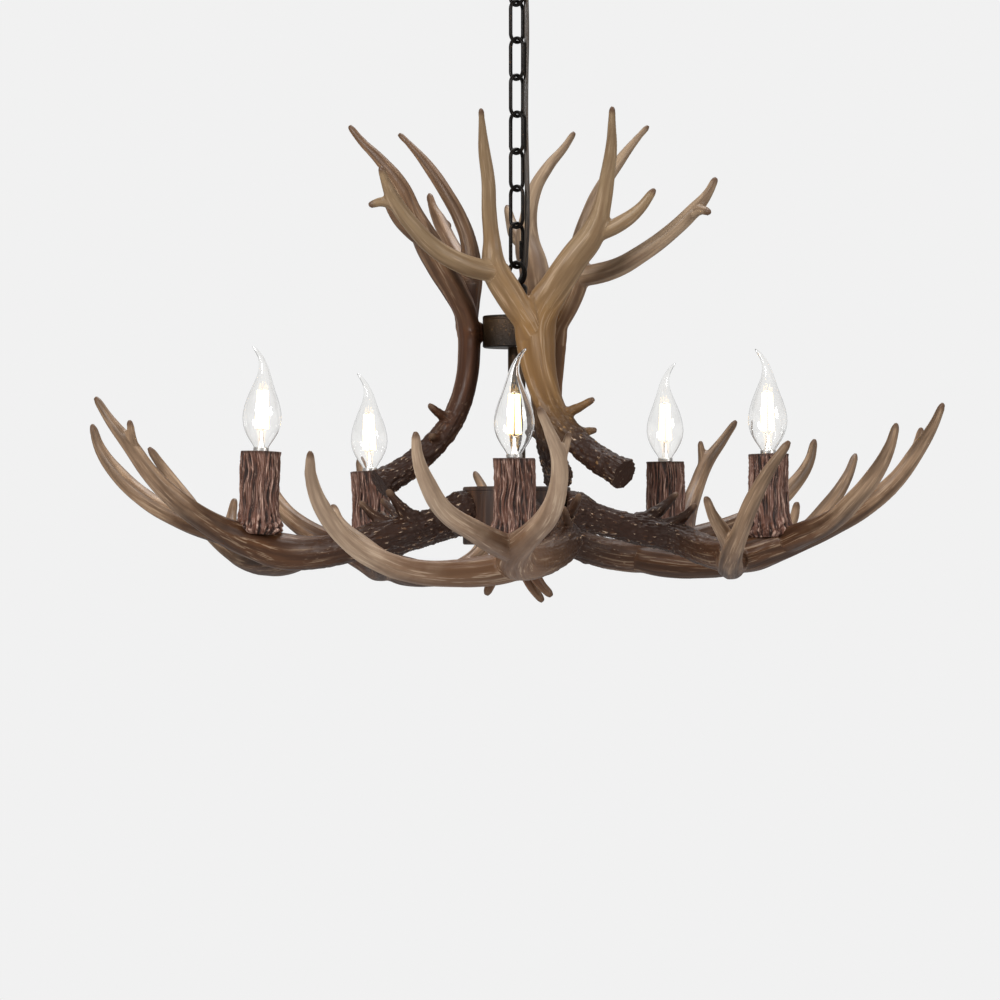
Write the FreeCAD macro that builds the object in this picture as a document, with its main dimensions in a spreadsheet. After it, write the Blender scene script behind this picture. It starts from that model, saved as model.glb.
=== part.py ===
"""Antler chandelier: a crown of three antlers over a ring of five, hung on a chain.

Millimetres, +Z up. The origin is the centre of the ceiling crossbar's top face, so the
whole light hangs below it. Azimuth 0 points along -Y and grows towards +X.
Both kinds of antler are castings used again and again: one arm casting carries each
candle, and one crown casting stands three times round the upper hub.
"""
import FreeCAD, Part
import math
import os
import Sketcher
from FreeCAD import Placement, Rotation, Vector

SIZES = {
    # ceiling fitting
    "crossbar_length": 104.0,
    "crossbar_width": 20.0,
    "crossbar_thickness": 2.5,
    "box_screw_spacing": 88.9,
    "box_screw_hole": 2.6,
    "nipple_radius": 6.5,
    "nipple_bore": 4.7,
    "nut_radius": 10.5,
    "nut_height": 3.0,
    "canopy_radius": 60.0,
    "canopy_depth": 27.0,
    "canopy_wall": 1.5,
    "collar_radius": 12.0,
    "collar_height": 6.0,
    # the loops at both ends of the chain
    "boss_radius": 9.6,
    "boss_height": 6.0,
    "ring_radius": 10.2,
    "ring_wire": 2.2,
    # chain
    "chain_wire": 1.7,
    "link_length": 40.8,
    "link_width": 19.0,
    "quick_link_length": 43.5,
    "quick_link_gap": 5.0,
    "quick_link_stub": 2.0,
    "barrel_radius": 3.3,
    "barrel_length": 16.5,
    "cord_radius": 2.3,
    "earth_radius": 1.0,
    # column and hubs
    "column_radius": 8.0,
    "column_bore": 5.4,
    "neck_length": 29.0,
    "neck_overlap": 12.0,
    "upper_hub_radius": 31.0,
    "upper_hub_height": 29.0,
    "hub_drop": 166.5,
    "lower_hub_radius": 49.0,
    "lower_hub_height": 52.5,
    "hub_wall": 4.0,
    "lower_wall": 7.5,
    "lid_thickness": 3.5,
    "seat_depth": 2.5,
    "screw_radius": 2.5,
    "screw_head": 4.4,
    "screw_head_height": 3.0,
    "screw_length": 22.0,
    # antlers
    "arm_girth": 1.0,
    "crown_girth": 1.0,
    "boss_of_crown": 9.0,
    # candles
    "candle_radius": 18.7,
    "candle_top": 50.0,
    "candle_bore": 14.0,
    "candle_reach": 192.0,
    "socket_radius": 11.0,
    "socket_length": 46.0,
    "pipe_radius": 4.9,
    "pipe_length": 34.0,
    "bulb_radius": 17.5,
    "bulb_height": 93.0,
    "glass_wall": 1.0,
    "base_radius": 6.0,
    "base_length": 20.0,
    # running gaps
    "seat_gap": 0.3,
    "thread_play": 0.1,
}

ARM_TURNS = (0.7, 71.4, 144.7, -143.2, -73.0)
ARM_DROOPS = (1.2, -1.0, -0.8, 2.0, -1.8)
CROWN_TURNS = (-92.0, 23.6, 144.0)
CROWN_LEANS = (3.0, -1.2, -1.9)
CROWN_HEADING = 26.6
FLAME_TURNS = (90.0, 90.0, 90.0, -90.0, -90.0)
BEAM_SIDES = 8
TINE_SIDES = 6
WIRE_SIDES = 8
CORD_SIDES = 6
ROUND_SIDES = 24
HOLE_SIDES = 12

# Stations of the arm casting: out from the seat on the hub, across, up, half width,
# half thickness.
ARM_BEAM = (
    (0, 0, 3, 15.5, 15.5), (10, 5, 3, 15.0, 15.0), (27, 16, 0, 14.5, 14.5), (58, 35, -6, 14.0, 14.0),
    (89, 44, -16, 14.0, 13.5), (119, 33, -27, 13.5, 13.5), (145, 13, -34, 14.0, 13.5),
    (171, -2, -36, 13.5, 12.5), (193, -5, -34, 12.5, 12.0), (218, -4, -27, 13.0, 11.0),
    (244, 9, -15, 10.5, 10.5), (273, 23, 3, 9.5, 9.5), (299, 30, 25, 8.0, 8.0),
    (319, 30, 50, 7.0, 7.0), (336, 22, 72, 5.0, 5.0), (348, 13, 92, 1.4, 1.4),
)
ARM_TINES = (
    # beam tip's side prong
    ((306, 29, 36, 3.5, 3.5), (317, 34, 53, 4.2, 4.2), (322, 39, 72, 1.3, 1.3)),
    # second tip
    ((205, -4, -31, 7.5, 7.5), (226, -13, -25, 10.0, 10.0), (255, -35, -13, 9.5, 9.5),
     (285, -65, 7, 8.5, 8.5), (307, -78, 28, 7.5, 7.5), (322, -86, 50, 5.5, 5.5), (330, -88, 72, 1.4, 1.4)),
    # side branch and its long tip
    ((155, 10, -34, 9.0, 9.0), (165, -26, -45, 12.5, 12.0), (172, -60, -49, 11.5, 11.5),
     (179, -89, -47, 11.0, 10.5), (188, -116, -39, 9.5, 10.0), (204, -146, -21, 8.0, 8.0),
     (223, -168, 8, 7.5, 7.5), (242, -177, 35, 5.5, 5.5), (258, -177, 56, 1.4, 1.4)),
    # side branch's short tip
    ((185, -106, -42, 6.0, 6.0), (187, -136, -22, 7.0, 7.0), (182, -154, -5, 5.0, 5.0),
     (178, -161, 11, 1.4, 1.4)),
    # two brow prongs near the hub
    ((92, 44, -14, 7.5, 7.5), (91, 52, 4, 4.5, 4.5), (90, 54, 18, 1.3, 1.3)),
    ((102, 38, -20, 7.0, 7.0), (109, 41, -5, 4.5, 4.5), (111, 39, 6, 1.3, 1.3)),
)

# Stations of the crown casting, measured from its seat on the upper hub.
CROWN_BEAM = (
    (103, 49, -137, 17.0, 17.0), (100, 46, -134, 17.0, 16.5), (85, 38, -126, 14.5, 13.5),
    (65, 28, -113, 14.0, 12.5), (48, 19, -98, 14.5, 11.5), (31, 9, -76, 15.5, 10.5),
    (20, 3, -48, 16.5, 10.0), (15, 0, -16, 19.0, 9.5), (15, -1, 6, 22.0, 9.5),
    (17, 2, 24, 20.0, 9.5), (25, 11, 41, 13.5, 10.5), (37, 25, 62, 11.5, 11.0),
    (47, 42, 84, 10.5, 10.5), (56, 48, 107, 7.5, 7.5), (67, 49, 134, 7.0, 7.0),
    (85, 45, 158, 5.5, 5.5), (102, 38, 177, 4.0, 4.0), (112, 34, 191, 1.3, 1.3),
)
CROWN_TINES = (
    # inner branch and its upright tip
    ((17, -3, 8, 8.0, 8.0), (13, -24, 38, 11.5, 10.5), (11, -37, 58, 10.0, 9.5), (12, -41, 81, 7.8, 7.8),
     (19, -46, 106, 7.0, 7.0), (30, -51, 129, 6.5, 6.5), (47, -62, 157, 5.5, 5.5),
     (64, -71, 179, 3.5, 3.5), (74, -76, 190, 1.3, 1.3)),
    # long sideways branch
    ((12, -30, 48, 7.0, 7.0), (15, -56, 48, 9.0, 9.0), (20, -78, 56, 8.5, 8.5), (23, -100, 69, 8.0, 8.0),
     (33, -126, 89, 7.5, 7.5), (43, -148, 111, 6.8, 6.8), (49, -157, 124, 4.8, 4.8),
     (53, -164, 139, 1.3, 1.3)),
    ((41, -141, 104, 5.0, 5.0), (39, -157, 109, 4.6, 4.6), (35, -169, 106, 1.3, 1.3)),
    # outer branch's short tip
    ((46, 39, 80, 6.5, 6.5), (59, 63, 92, 7.2, 7.2), (71, 78, 105, 5.5, 5.5),
     (80, 90, 123, 1.3, 1.3)),
    # two brow prongs
    ((33, 9, -80, 6.0, 6.0), (44, 27, -72, 4.5, 4.5), (52, 40, -64, 1.3, 1.3)),
    ((42, 14, -92, 6.0, 6.0), (47, 30, -94, 4.5, 4.5), (52, 42, -92, 1.3, 1.3)),
)

# The three tines under the lower hub: out, across, up from the hub's underside, half widths.
FINIAL_TINES = (
    ((0, 0, -2, 7.0, 7.0), (-14, 4, -10, 6.5, 6.5), (-22, 6, -22, 5.0, 5.0), (-26, 7, -32, 2.4, 2.4)),
    ((0, 0, -2, 7.5, 7.5), (10, -2, -14, 7.0, 6.5), (20, -4, -29, 5.0, 4.5), (29, -5, -38, 1.8, 1.8)),
    ((0, 4, -2, 7.0, 7.0), (8, 7, -18, 6.0, 6.0), (18, 9, -36, 4.5, 4.5), (31, 10, -49, 1.4, 1.4)),
)

# The bulb's outline: share of its height, share of its radius, sideways lean of the flame tip.
FLAME = (
    (0.0, 0.40, 0.0), (0.08, 0.62, 0.0), (0.18, 0.88, 0.0), (0.29, 1.0, 0.0), (0.40, 0.97, 0.0),
    (0.54, 0.75, 0.0), (0.67, 0.46, 0.0), (0.80, 0.24, 0.5), (0.90, 0.15, 3.0), (1.0, 0.07, 7.5),
)
FLAME_INSIDE = 7

# Routes of the two cords: down the canopy's hollow nipple, out of its loop, beside the
# chain, in at the column's loop and down the column. Each point is x, y and the stretch
# it belongs to, with how far along that stretch it lies.
CORD_ROUTE = (
    (1.0, 0.4, "nipple", 0.0), (1.3, 0.7, "nipple", 0.5), (0.9, 0.4, "nipple", 1.0),
    (6.9, 0.6, "chain", 0.035), (8.3, 0.5, "chain", 0.12), (9.4, 0.1, "chain", 0.25),
    (8.4, 0.4, "chain", 0.39), (8.2, 0.2, "chain", 0.53), (9.4, 0.5, "chain", 0.67),
    (9.8, 0.2, "chain", 0.80), (8.6, 0.4, "chain", 0.90), (7.4, 0.5, "chain", 0.965),
    (1.0, 0.2, "column", 0.0), (0.6, 0.4, "column", 0.1), (1.1, 0.1, "column", 0.31),
    (0.4, 0.5, "column", 0.54), (0.9, 0.0, "column", 0.78), (0.5, 0.3, "column", 1.0),
)
EARTH_ROUTE = (
    (-0.8, -2.6, "nipple", 0.0), (-0.4, -2.9, "nipple", 0.5), (-0.6, -2.7, "nipple", 1.0),
    (7.4, -2.9, "chain", 0.035), (9.3, -3.4, "chain", 0.12), (10.0, -3.8, "chain", 0.25),
    (9.2, -3.3, "chain", 0.39), (9.6, -3.7, "chain", 0.53), (10.2, -3.3, "chain", 0.67),
    (9.5, -3.8, "chain", 0.80), (8.4, -3.3, "chain", 0.90), (7.9, -3.0, "chain", 0.965),
    (-0.6, -2.9, "column", 0.0), (-0.9, -2.6, "column", 0.1), (-0.5, -2.9, "column", 0.31),
    (-1.0, -2.7, "column", 0.54), (-0.6, -2.9, "column", 0.78), (-0.9, -2.6, "column", 1.0),
)

doc = FreeCAD.newDocument("antler_chandelier")
sheet = doc.addObject("Spreadsheet::Sheet", "sizes")
for row, (alias, number) in enumerate(SIZES.items(), start=1):
    sheet.set(f"A{row}", alias)
    sheet.set(f"B{row}", str(number))
    sheet.setAlias(f"B{row}", alias)
doc.recompute()


class Size:
    """A length that knows its value and the sheet expression it comes from."""

    def __init__(self, value, text):
        self.value = value
        self.text = text

    def __add__(self, other):
        other = as_size(other)
        return Size(self.value + other.value, f"({self.text} + {other.text})")

    def __sub__(self, other):
        other = as_size(other)
        return Size(self.value - other.value, f"({self.text} - {other.text})")

    def __mul__(self, share):
        return Size(self.value * share, f"({self.text} * {share})")


def as_size(number):
    return number if isinstance(number, Size) else Size(float(number), str(number))


def size(alias):
    """The sheet's cell of that name."""
    return Size(float(sheet.get(alias)), f"sizes.{alias}")


def mm(alias):
    return size(alias).value


def bind(thing, name, length):
    """Tie one property of an object to the sheet."""
    setattr(thing, name, length.value)
    thing.setExpression(name, length.text)


parts = []


def keep(thing, label, place=None):
    """Name a finished sub-part, put it in its place and list it for export."""
    thing.Label = label
    if place is not None:
        thing.Placement = place
    parts.append(thing)
    return thing


def copy_of(shape, label, place):
    """One more of a repeated sub-part."""
    thing = doc.addObject("Part::Feature", label)
    thing.Shape = shape
    return keep(thing, label, place.multiply(shape.Placement))


def at_height(z):
    return Placement(Vector(0, 0, z), Rotation())


# ---------------------------------------------------------------- heights and directions
GAP = mm("seat_gap")
LINK_PLAY = GAP
canopy_bottom = -mm("canopy_depth")
collar_top = canopy_bottom - GAP
boss_top = collar_top - mm("collar_height") - GAP
boss_bottom = boss_top - mm("boss_height")
upper_ring_centre = boss_bottom - mm("ring_radius") + mm("ring_wire") * 0.4
first_joint = upper_ring_centre - mm("ring_radius")
link_span = mm("link_length") - 2 * mm("chain_wire")
quick_span = mm("quick_link_length") - 2 * mm("chain_wire")
wire_over_ring = mm("ring_wire") + mm("chain_wire") + LINK_PLAY
wire_over_wire = 2 * mm("chain_wire") + LINK_PLAY
LINKS = 7
joint_heights = [first_joint, first_joint + wire_over_ring - link_span]
for link in range(1, LINKS):
    joint_heights.append(joint_heights[-1] + wire_over_wire - link_span)
joint_heights.append(joint_heights[-1] + wire_over_wire - quick_span)
lower_ring_centre = joint_heights[-1] + wire_over_ring - mm("ring_radius")
neck_top = lower_ring_centre - mm("ring_radius") + mm("ring_wire") * 0.4
upper_hub_top = neck_top - mm("neck_length")
upper_hub_middle = upper_hub_top - mm("upper_hub_height") / 2
arm_height = upper_hub_middle - mm("hub_drop")
lower_hub_top = arm_height + 25.5
lower_hub_bottom = lower_hub_top - mm("lower_hub_height")


def plane_angle(turn):
    """Heading of the flat of a link or ring: neighbours stand square to each other."""
    return 45.0 if turn % 2 == 0 else -45.0


def outward(azimuth):
    return Vector(math.sin(math.radians(azimuth)), -math.cos(math.radians(azimuth)), 0)


def seated(azimuth, radius, height):
    """Frame at a hub's side: local X points out, Y across, Z up."""
    out = outward(azimuth)
    return Placement(out * radius + Vector(0, 0, height), Rotation(Vector(0, 0, 1), azimuth - 90))


# ---------------------------------------------------------------- drawing helpers
def new_body(name):
    return doc.addObject("PartDesign::Body", name)


def base_plane(body, role):
    return next(f for f in body.Origin.OriginFeatures if f.Role == role)


def outline_sketch(body, name, role, corners):
    """A closed outline of straight sides, each corner tied to the sheet."""
    sketch = body.newObject("Sketcher::SketchObject", name)
    sketch.AttachmentSupport = [(base_plane(body, role), "")]
    sketch.MapMode = "FlatFace"
    corners = [(as_size(x), as_size(y)) for x, y in corners]
    count = len(corners)
    for here, there in zip(corners, corners[1:] + corners[:1]):
        start = Vector(here[0].value, here[1].value, 0)
        end = Vector(there[0].value, there[1].value, 0)
        sketch.addGeometry(Part.LineSegment(start, end), False)
    for side in range(count):
        sketch.addConstraint(Sketcher.Constraint("Coincident", side, 2, (side + 1) % count, 1))
    for side, (x, y) in enumerate(corners):
        for kind, length, axis in (("DistanceX", x, -2), ("DistanceY", y, -1)):
            if length.value == 0:
                sketch.addConstraint(Sketcher.Constraint("PointOnObject", side, 1, axis))
                continue
            index = sketch.addConstraint(Sketcher.Constraint(kind, side, 1, length.value))
            sketch.setExpression(f"Constraints[{index}]", length.text)
    return sketch


def circle_sketch(body, name, role, circles):
    """Circles (x, y, radius), each tied to the sheet."""
    sketch = body.newObject("Sketcher::SketchObject", name)
    sketch.AttachmentSupport = [(base_plane(body, role), "")]
    sketch.MapMode = "FlatFace"
    for number, circle in enumerate(circles):
        x, y, radius = (as_size(value) for value in circle)
        centre = Vector(x.value, y.value, 0)
        sketch.addGeometry(Part.Circle(centre, Vector(0, 0, 1), radius.value), False)
        index = sketch.addConstraint(Sketcher.Constraint("Radius", number, radius.value))
        sketch.setExpression(f"Constraints[{index}]", radius.text)
        for kind, length, axis in (("DistanceX", x, -2), ("DistanceY", y, -1)):
            if length.value == 0:
                sketch.addConstraint(Sketcher.Constraint("PointOnObject", number, 3, axis))
                continue
            index = sketch.addConstraint(Sketcher.Constraint(kind, number, 3, length.value))
            sketch.setExpression(f"Constraints[{index}]", length.text)
    return sketch


def padded(name, sketch_of, height):
    """A body padded up from a sketch on its XY plane."""
    body = new_body(name)
    pad = body.newObject("PartDesign::Pad", f"{name}_pad")
    pad.Profile = sketch_of(body)
    bind(pad, "Length", height)
    return body


def round_corners(radius, sides):
    """Corners of a regular outline whose corners stand at the radius."""
    corners = []
    for corner in range(sides):
        angle = 2 * math.pi * (corner + 0.5) / sides
        corners.append((radius * round(math.cos(angle), 6), radius * round(math.sin(angle), 6)))
    return corners


def drilled(body, name, corners):
    """Cut an outline right through a body that stands on its XY plane."""
    pocket = body.newObject("PartDesign::Pocket", f"{name}_pocket")
    pocket.Profile = outline_sketch(body, f"{name}_outline", "XY_Plane", corners)
    pocket.Type = "ThroughAll"
    pocket.Reversed = True


def ring_body(name, radius, bore, height, sides):
    """A round plate or pipe, padded up and bored through."""
    body = padded(
        name, lambda body: outline_sketch(body, f"{name}_outline", "XY_Plane", round_corners(radius, sides)), height
    )
    drilled(body, f"{name}_bore", round_corners(bore, max(sides, 16)))
    return body


def section(centre, tangent, broad, width, thickness, sides):
    """The corners of a flat many-sided ring across a branch."""
    narrow = tangent.cross(broad)
    points = []
    for corner in range(sides):
        angle = 2 * math.pi * (corner + 0.5) / sides
        points.append(centre + broad * (width * math.cos(angle)) + narrow * (thickness * math.sin(angle)))
    return points


def level_ring(height, radius, sides, lean=0.0):
    """The corners of a level ring round Z, or beside it."""
    return section(Vector(lean, 0, height), Vector(0, 0, 1), Vector(1, 0, 0), radius, radius, sides)


def flat_face(corners):
    return Part.Face(Part.makePolygon(corners + corners[:1]))


def skin(rings, closed=False):
    """A solid with flat facets over rings of equally many corners."""
    faces = []
    sides = len(rings[0])
    following = rings[1:] + rings[:1] if closed else rings[1:]
    for ring, after in zip(rings, following):
        for corner in range(sides):
            beside = (corner + 1) % sides
            quad = [ring[corner], ring[beside], after[beside], after[corner]]
            normal = (quad[1] - quad[0]).cross(quad[2] - quad[0])
            if abs(normal.dot(quad[3] - quad[0])) < 1e-7 * normal.Length:
                faces.append(flat_face(quad))
            else:
                faces.append(flat_face(quad[:3]))
                faces.append(flat_face([quad[0], quad[2], quad[3]]))
    if not closed:
        faces.append(flat_face(rings[0]))
        faces.append(flat_face(rings[-1]))
    solid = Part.makeSolid(Part.makeShell(faces))
    if solid.Volume < 0:
        solid.reverse()
    return solid


def branch(stations, sides, broad_hint, girth=1.0, grow=0.0, start=None):
    """A bone-like branch through its stations, square to its own run at each."""
    centres = [Vector(*station[:3]) for station in stations]
    broad = broad_hint
    rings = []
    last = len(centres) - 1
    for number, centre in enumerate(centres):
        tangent = centres[min(number + 1, last)] - centres[max(number - 1, 0)]
        if number == 0 and start is not None:
            tangent = Vector(start)
        tangent.normalize()
        broad = broad - tangent * broad.dot(tangent)
        broad.normalize()
        width, thickness = (half * girth + grow for half in stations[number][3:5])
        rings.append(section(centre, tangent, broad, width, thickness, sides))
    return skin(rings)


def rod(centre, direction, radius, length, sides=HOLE_SIDES):
    """A many-sided rod whose flats stand at the radius."""
    across = Vector(0, 1, 0)
    corner_radius = radius / math.cos(math.pi / sides)
    ring = section(centre, direction, across, corner_radius, corner_radius, sides)
    return flat_face(ring).extrude(direction * length)


def polygon_tube(outer, inner, height, sides):
    """A many-sided tube standing on the XY plane."""
    tube = None
    for radius in (outer, inner):
        column = flat_face(level_ring(0, radius, sides)).extrude(Vector(0, 0, height))
        tube = column if tube is None else tube.cut(column)
    return tube


def turned(rows, sides):
    """A hollow turned piece: (outer radius, inner radius, height) rows from the bottom up."""
    outer = skin([level_ring(height, wide, sides) for wide, narrow, height in rows])
    return outer.cut(skin([level_ring(height, narrow, sides) for wide, narrow, height in rows]))


# ---------------------------------------------------------------- ceiling fitting
def make_crossbar():
    half_length = size("crossbar_length") * 0.5
    half_width = size("crossbar_width") * 0.5
    body = padded(
        "crossbar_body",
        lambda body: outline_sketch(body, "crossbar_outline", "XY_Plane", [
            (half_length * -1, half_width * -1), (half_length, half_width * -1),
            (half_length, half_width), (half_length * -1, half_width),
        ]),
        size("crossbar_thickness"),
    )
    half_spacing = size("box_screw_spacing") * 0.5
    holes = circle_sketch(body, "crossbar_holes", "XY_Plane", [
        (half_spacing, 0, size("box_screw_hole")),
        (half_spacing * -1, 0, size("box_screw_hole")),
        (0, 0, size("nipple_radius") + size("thread_play")),
    ])
    pocket = body.newObject("PartDesign::Pocket", "crossbar_drilled")
    pocket.Profile = holes
    pocket.Type = "ThroughAll"
    pocket.Reversed = True
    keep(body, "crossbar", at_height(-mm("crossbar_thickness")))


def make_nipple():
    length = size("canopy_depth") + size("collar_height") + size("boss_height") * 0.6
    nipple = ring_body("nipple", size("nipple_radius"), size("nipple_bore"), length, 16)
    keep(nipple, "canopy_nipple", at_height(-length.value))
    hole = size("nipple_radius") + size("thread_play")
    nut = ring_body("nut", size("nut_radius"), hole, size("nut_height"), 6)
    keep(nut, "nipple_nut", at_height(-mm("crossbar_thickness") - GAP - mm("nut_height")))


def make_canopy():
    radius = mm("canopy_radius")
    depth = mm("canopy_depth")
    wall = mm("canopy_wall")
    hole = mm("nipple_radius") + mm("thread_play")
    dish = turned([
        (radius * 0.36, hole, 0), (radius * 0.56, radius * 0.2, wall), (radius * 0.78, radius * 0.74, depth * 0.26),
        (radius * 0.93, radius * 0.93 - wall, depth * 0.58), (radius, radius - wall, depth),
    ], ROUND_SIDES)
    copy_of(dish, "canopy", at_height(canopy_bottom))
    collar = ring_body("collar", size("collar_radius"), size("nipple_radius") + size("thread_play"),
                       size("collar_height"), 16)
    keep(collar, "loop_collar", at_height(collar_top - mm("collar_height")))


# ---------------------------------------------------------------- chain
def wire_run(points, closed, radius):
    """A wire bent from short straight runs; points are (across, up, heading of the run)."""
    rings = []
    for across, up, heading in points:
        tangent = Vector(math.cos(heading), 0, math.sin(heading))
        rings.append(section(Vector(across, 0, up), tangent, Vector(0, 1, 0), radius, radius, WIRE_SIDES))
    return skin(rings, closed)


def arc_points(centre_up, bend, first, last, steps):
    """Points round a bend in the link's plane, angles in degrees from the across axis."""
    points = []
    for step in range(steps + 1):
        angle = math.radians(first + (last - first) * step / steps)
        points.append((bend * math.cos(angle), centre_up + bend * math.sin(angle), angle + math.pi / 2))
    return points


def link_shape(length):
    """A welded oval link, its bottom wire's centre at the origin."""
    wire = mm("chain_wire")
    bend = mm("link_width") / 2 - wire
    high = length - 2 * wire - bend
    points = arc_points(high, bend, 0, 180, 6) + arc_points(bend, bend, 180, 360, 6)
    return wire_run(points, True, wire)


def make_chain():
    links = link_shape(mm("link_length"))
    for number in range(LINKS):
        place = Placement(
            Vector(0, 0, joint_heights[number + 1]), Rotation(Vector(0, 0, 1), plane_angle(number + 1))
        )
        copy_of(links.copy(), f"chain_link_{number + 1}", place)


def make_quick_link():
    """A link with a gap in one side, closed by a threaded barrel."""
    wire = mm("chain_wire")
    bend = mm("link_width") / 2 - wire
    high = mm("quick_link_length") - 2 * wire - bend
    stub = bend + mm("quick_link_stub")
    up = math.pi / 2
    points = [(bend, stub + mm("quick_link_gap"), up)]
    points += arc_points(high, bend, 0, 180, 6) + arc_points(bend, bend, 180, 360, 6)
    points += [(bend, stub, up)]
    turn = Rotation(Vector(0, 0, 1), plane_angle(LINKS + 1))
    place = Placement(Vector(0, 0, joint_heights[-1]), turn)
    copy_of(wire_run(points, False, wire), "quick_link", place)
    barrel = polygon_tube(mm("barrel_radius"), wire + mm("thread_play"), mm("barrel_length"), 12)
    along = Vector(bend, 0, bend + GAP / 2)
    copy_of(barrel, "quick_link_barrel", place.multiply(Placement(along, Rotation())))


def eye_on_boss(boss_height, upward, bore, deep_bore, deep):
    """A closed eye round the origin on a hollow boss; the boss's far end is bored wider."""
    eye = wire_run(arc_points(0, mm("ring_radius"), 0, 330, 11), True, mm("ring_wire"))
    edge = mm("ring_radius") - mm("ring_wire") * 0.4
    boss = skin([
        level_ring(0, mm("boss_radius") * 0.8, 16), level_ring(2.4, mm("boss_radius"), 16),
        level_ring(boss_height, mm("boss_radius"), 16),
    ])
    wide = flat_face(level_ring(boss_height - deep, deep_bore, 16)).extrude(Vector(0, 0, deep))
    hole = flat_face(level_ring(-2 * mm("ring_wire"), bore, 16)).extrude(Vector(0, 0, boss_height * 2))
    boss.translate(Vector(0, 0, edge))
    wide.translate(Vector(0, 0, edge))
    hole.translate(Vector(0, 0, edge))
    shape = eye.fuse(boss).cut([wide, hole])
    if not upward:
        shape.rotate(Vector(), Vector(1, 0, 0), 180)
    return shape.removeSplitter()


def make_loops():
    thread = mm("nipple_radius") + mm("thread_play")
    turn = Rotation(Vector(0, 0, 1), plane_angle(0))
    loop = eye_on_boss(mm("boss_height"), True, mm("nipple_bore"), thread, mm("boss_height") * 0.65)
    copy_of(loop, "canopy_loop", Placement(Vector(0, 0, upper_ring_centre), turn))
    turn = Rotation(Vector(0, 0, 1), plane_angle(LINKS + 2))
    socket = mm("column_radius") + mm("thread_play")
    loop = eye_on_boss(mm("neck_length") - GAP, False, mm("nipple_bore"), socket, mm("neck_overlap"))
    copy_of(loop, "column_loop", Placement(Vector(0, 0, lower_ring_centre), turn))


# ---------------------------------------------------------------- cords
def cord_points(route):
    """The route's points at their real heights."""
    stretches = {
        "nipple": (-1.0, boss_bottom),
        "chain": (boss_bottom, neck_top),
        "column": (neck_top, lower_hub_bottom + mm("hub_wall") + 12.0),
    }
    points = []
    for x, y, stretch, share in route:
        high, low = stretches[stretch]
        points.append(Vector(x, y, high + (low - high) * share))
    return points


def rounded_path(points):
    """Straight runs joined by tangent arcs, each as large as its two runs allow."""
    edges = []
    radii = []
    start = points[0]
    for before, corner, after in zip(points, points[1:], points[2:]):
        into = corner - before
        out = after - corner
        reach = 0.45 * min(into.Length, out.Length)
        into.normalize()
        out.normalize()
        turn = math.acos(max(-1.0, min(1.0, into.dot(out))))
        radius = reach / math.tan(turn / 2)
        radii.append(radius)
        first = corner - into * reach
        final = corner + out * reach
        inward = (out - into).normalize()
        middle = corner + inward * (radius / math.cos(turn / 2) - radius)
        edges.append(Part.LineSegment(start, first).toShape())
        edges.append(Part.Arc(first, middle, final).toShape())
        start = final
    edges.append(Part.LineSegment(start, points[-1]).toShape())
    return Part.Wire(edges), radii


def make_cord(label, route, radius):
    points = cord_points(route)
    path, radii = rounded_path(points)
    start = (points[1] - points[0]).normalize()
    ring = section(points[0], start, Vector(0, 1, 0), radius, radius, CORD_SIDES)
    tube = path.makePipeShell([Part.makePolygon(ring + ring[:1])], True, True)
    print(f"{label}: radii", " ".join(f"{r:.0f}" for r in radii),
          f"volume {tube.Volume:.1f} against {flat_face(ring).Area * path.Length:.1f}, length {path.Length:.1f}")
    copy_of(tube, label, Placement())


# ---------------------------------------------------------------- column and hubs
OUT = Vector(1, 0, 0)


def hub_shell(radius, wall, height, floor, column_hole):
    """A round hub, open at the top for its lid, with a hole for the column in its floor."""
    shell = flat_face(level_ring(0, radius, ROUND_SIDES)).extrude(Vector(0, 0, height))
    hollow = flat_face(level_ring(floor, radius - wall, ROUND_SIDES)).extrude(Vector(0, 0, height))
    hole = flat_face(level_ring(-1, column_hole, 16)).extrude(Vector(0, 0, floor * 3))
    return shell.cut([hollow, hole])


def make_hub(label, radius, wall, bottom, height, turns, seat_radius, seat_height):
    """Each antler has a flat-floored seat in the hub's side, with its screw hole behind it."""
    hub = hub_shell(radius, wall, height, mm("hub_wall"), mm("column_radius") + mm("thread_play"))
    cutters = []
    for azimuth in turns:
        turn = Placement(Vector(0, 0, seat_height - bottom), Rotation(Vector(0, 0, 1), azimuth - 90))
        floor = radius - mm("seat_depth")
        seat = rod(OUT * floor, OUT, seat_radius, mm("seat_depth") + 2, 16)
        hole = rod(OUT * mm("column_radius") * 1.5, OUT, mm("screw_radius") + mm("thread_play"), floor)
        for cutter in (seat, hole):
            cutter.Placement = turn
            cutters.append(cutter)
    copy_of(hub.cut(cutters), label, at_height(bottom))


def make_lid(label, radius, top):
    hole = size("column_radius") + size("thread_play")
    lid = ring_body(label, radius, hole, size("lid_thickness"), ROUND_SIDES)
    keep(lid, label, at_height(top - mm("lid_thickness")))


def make_column():
    top = upper_hub_top + mm("neck_overlap") - 2 * GAP
    bottom = lower_hub_bottom + GAP
    length = Size(top - bottom, str(round(top - bottom, 4)))
    column = ring_body("column", size("column_radius"), size("column_bore"), length, 16)
    keep(column, "column_tube", at_height(bottom))


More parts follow.
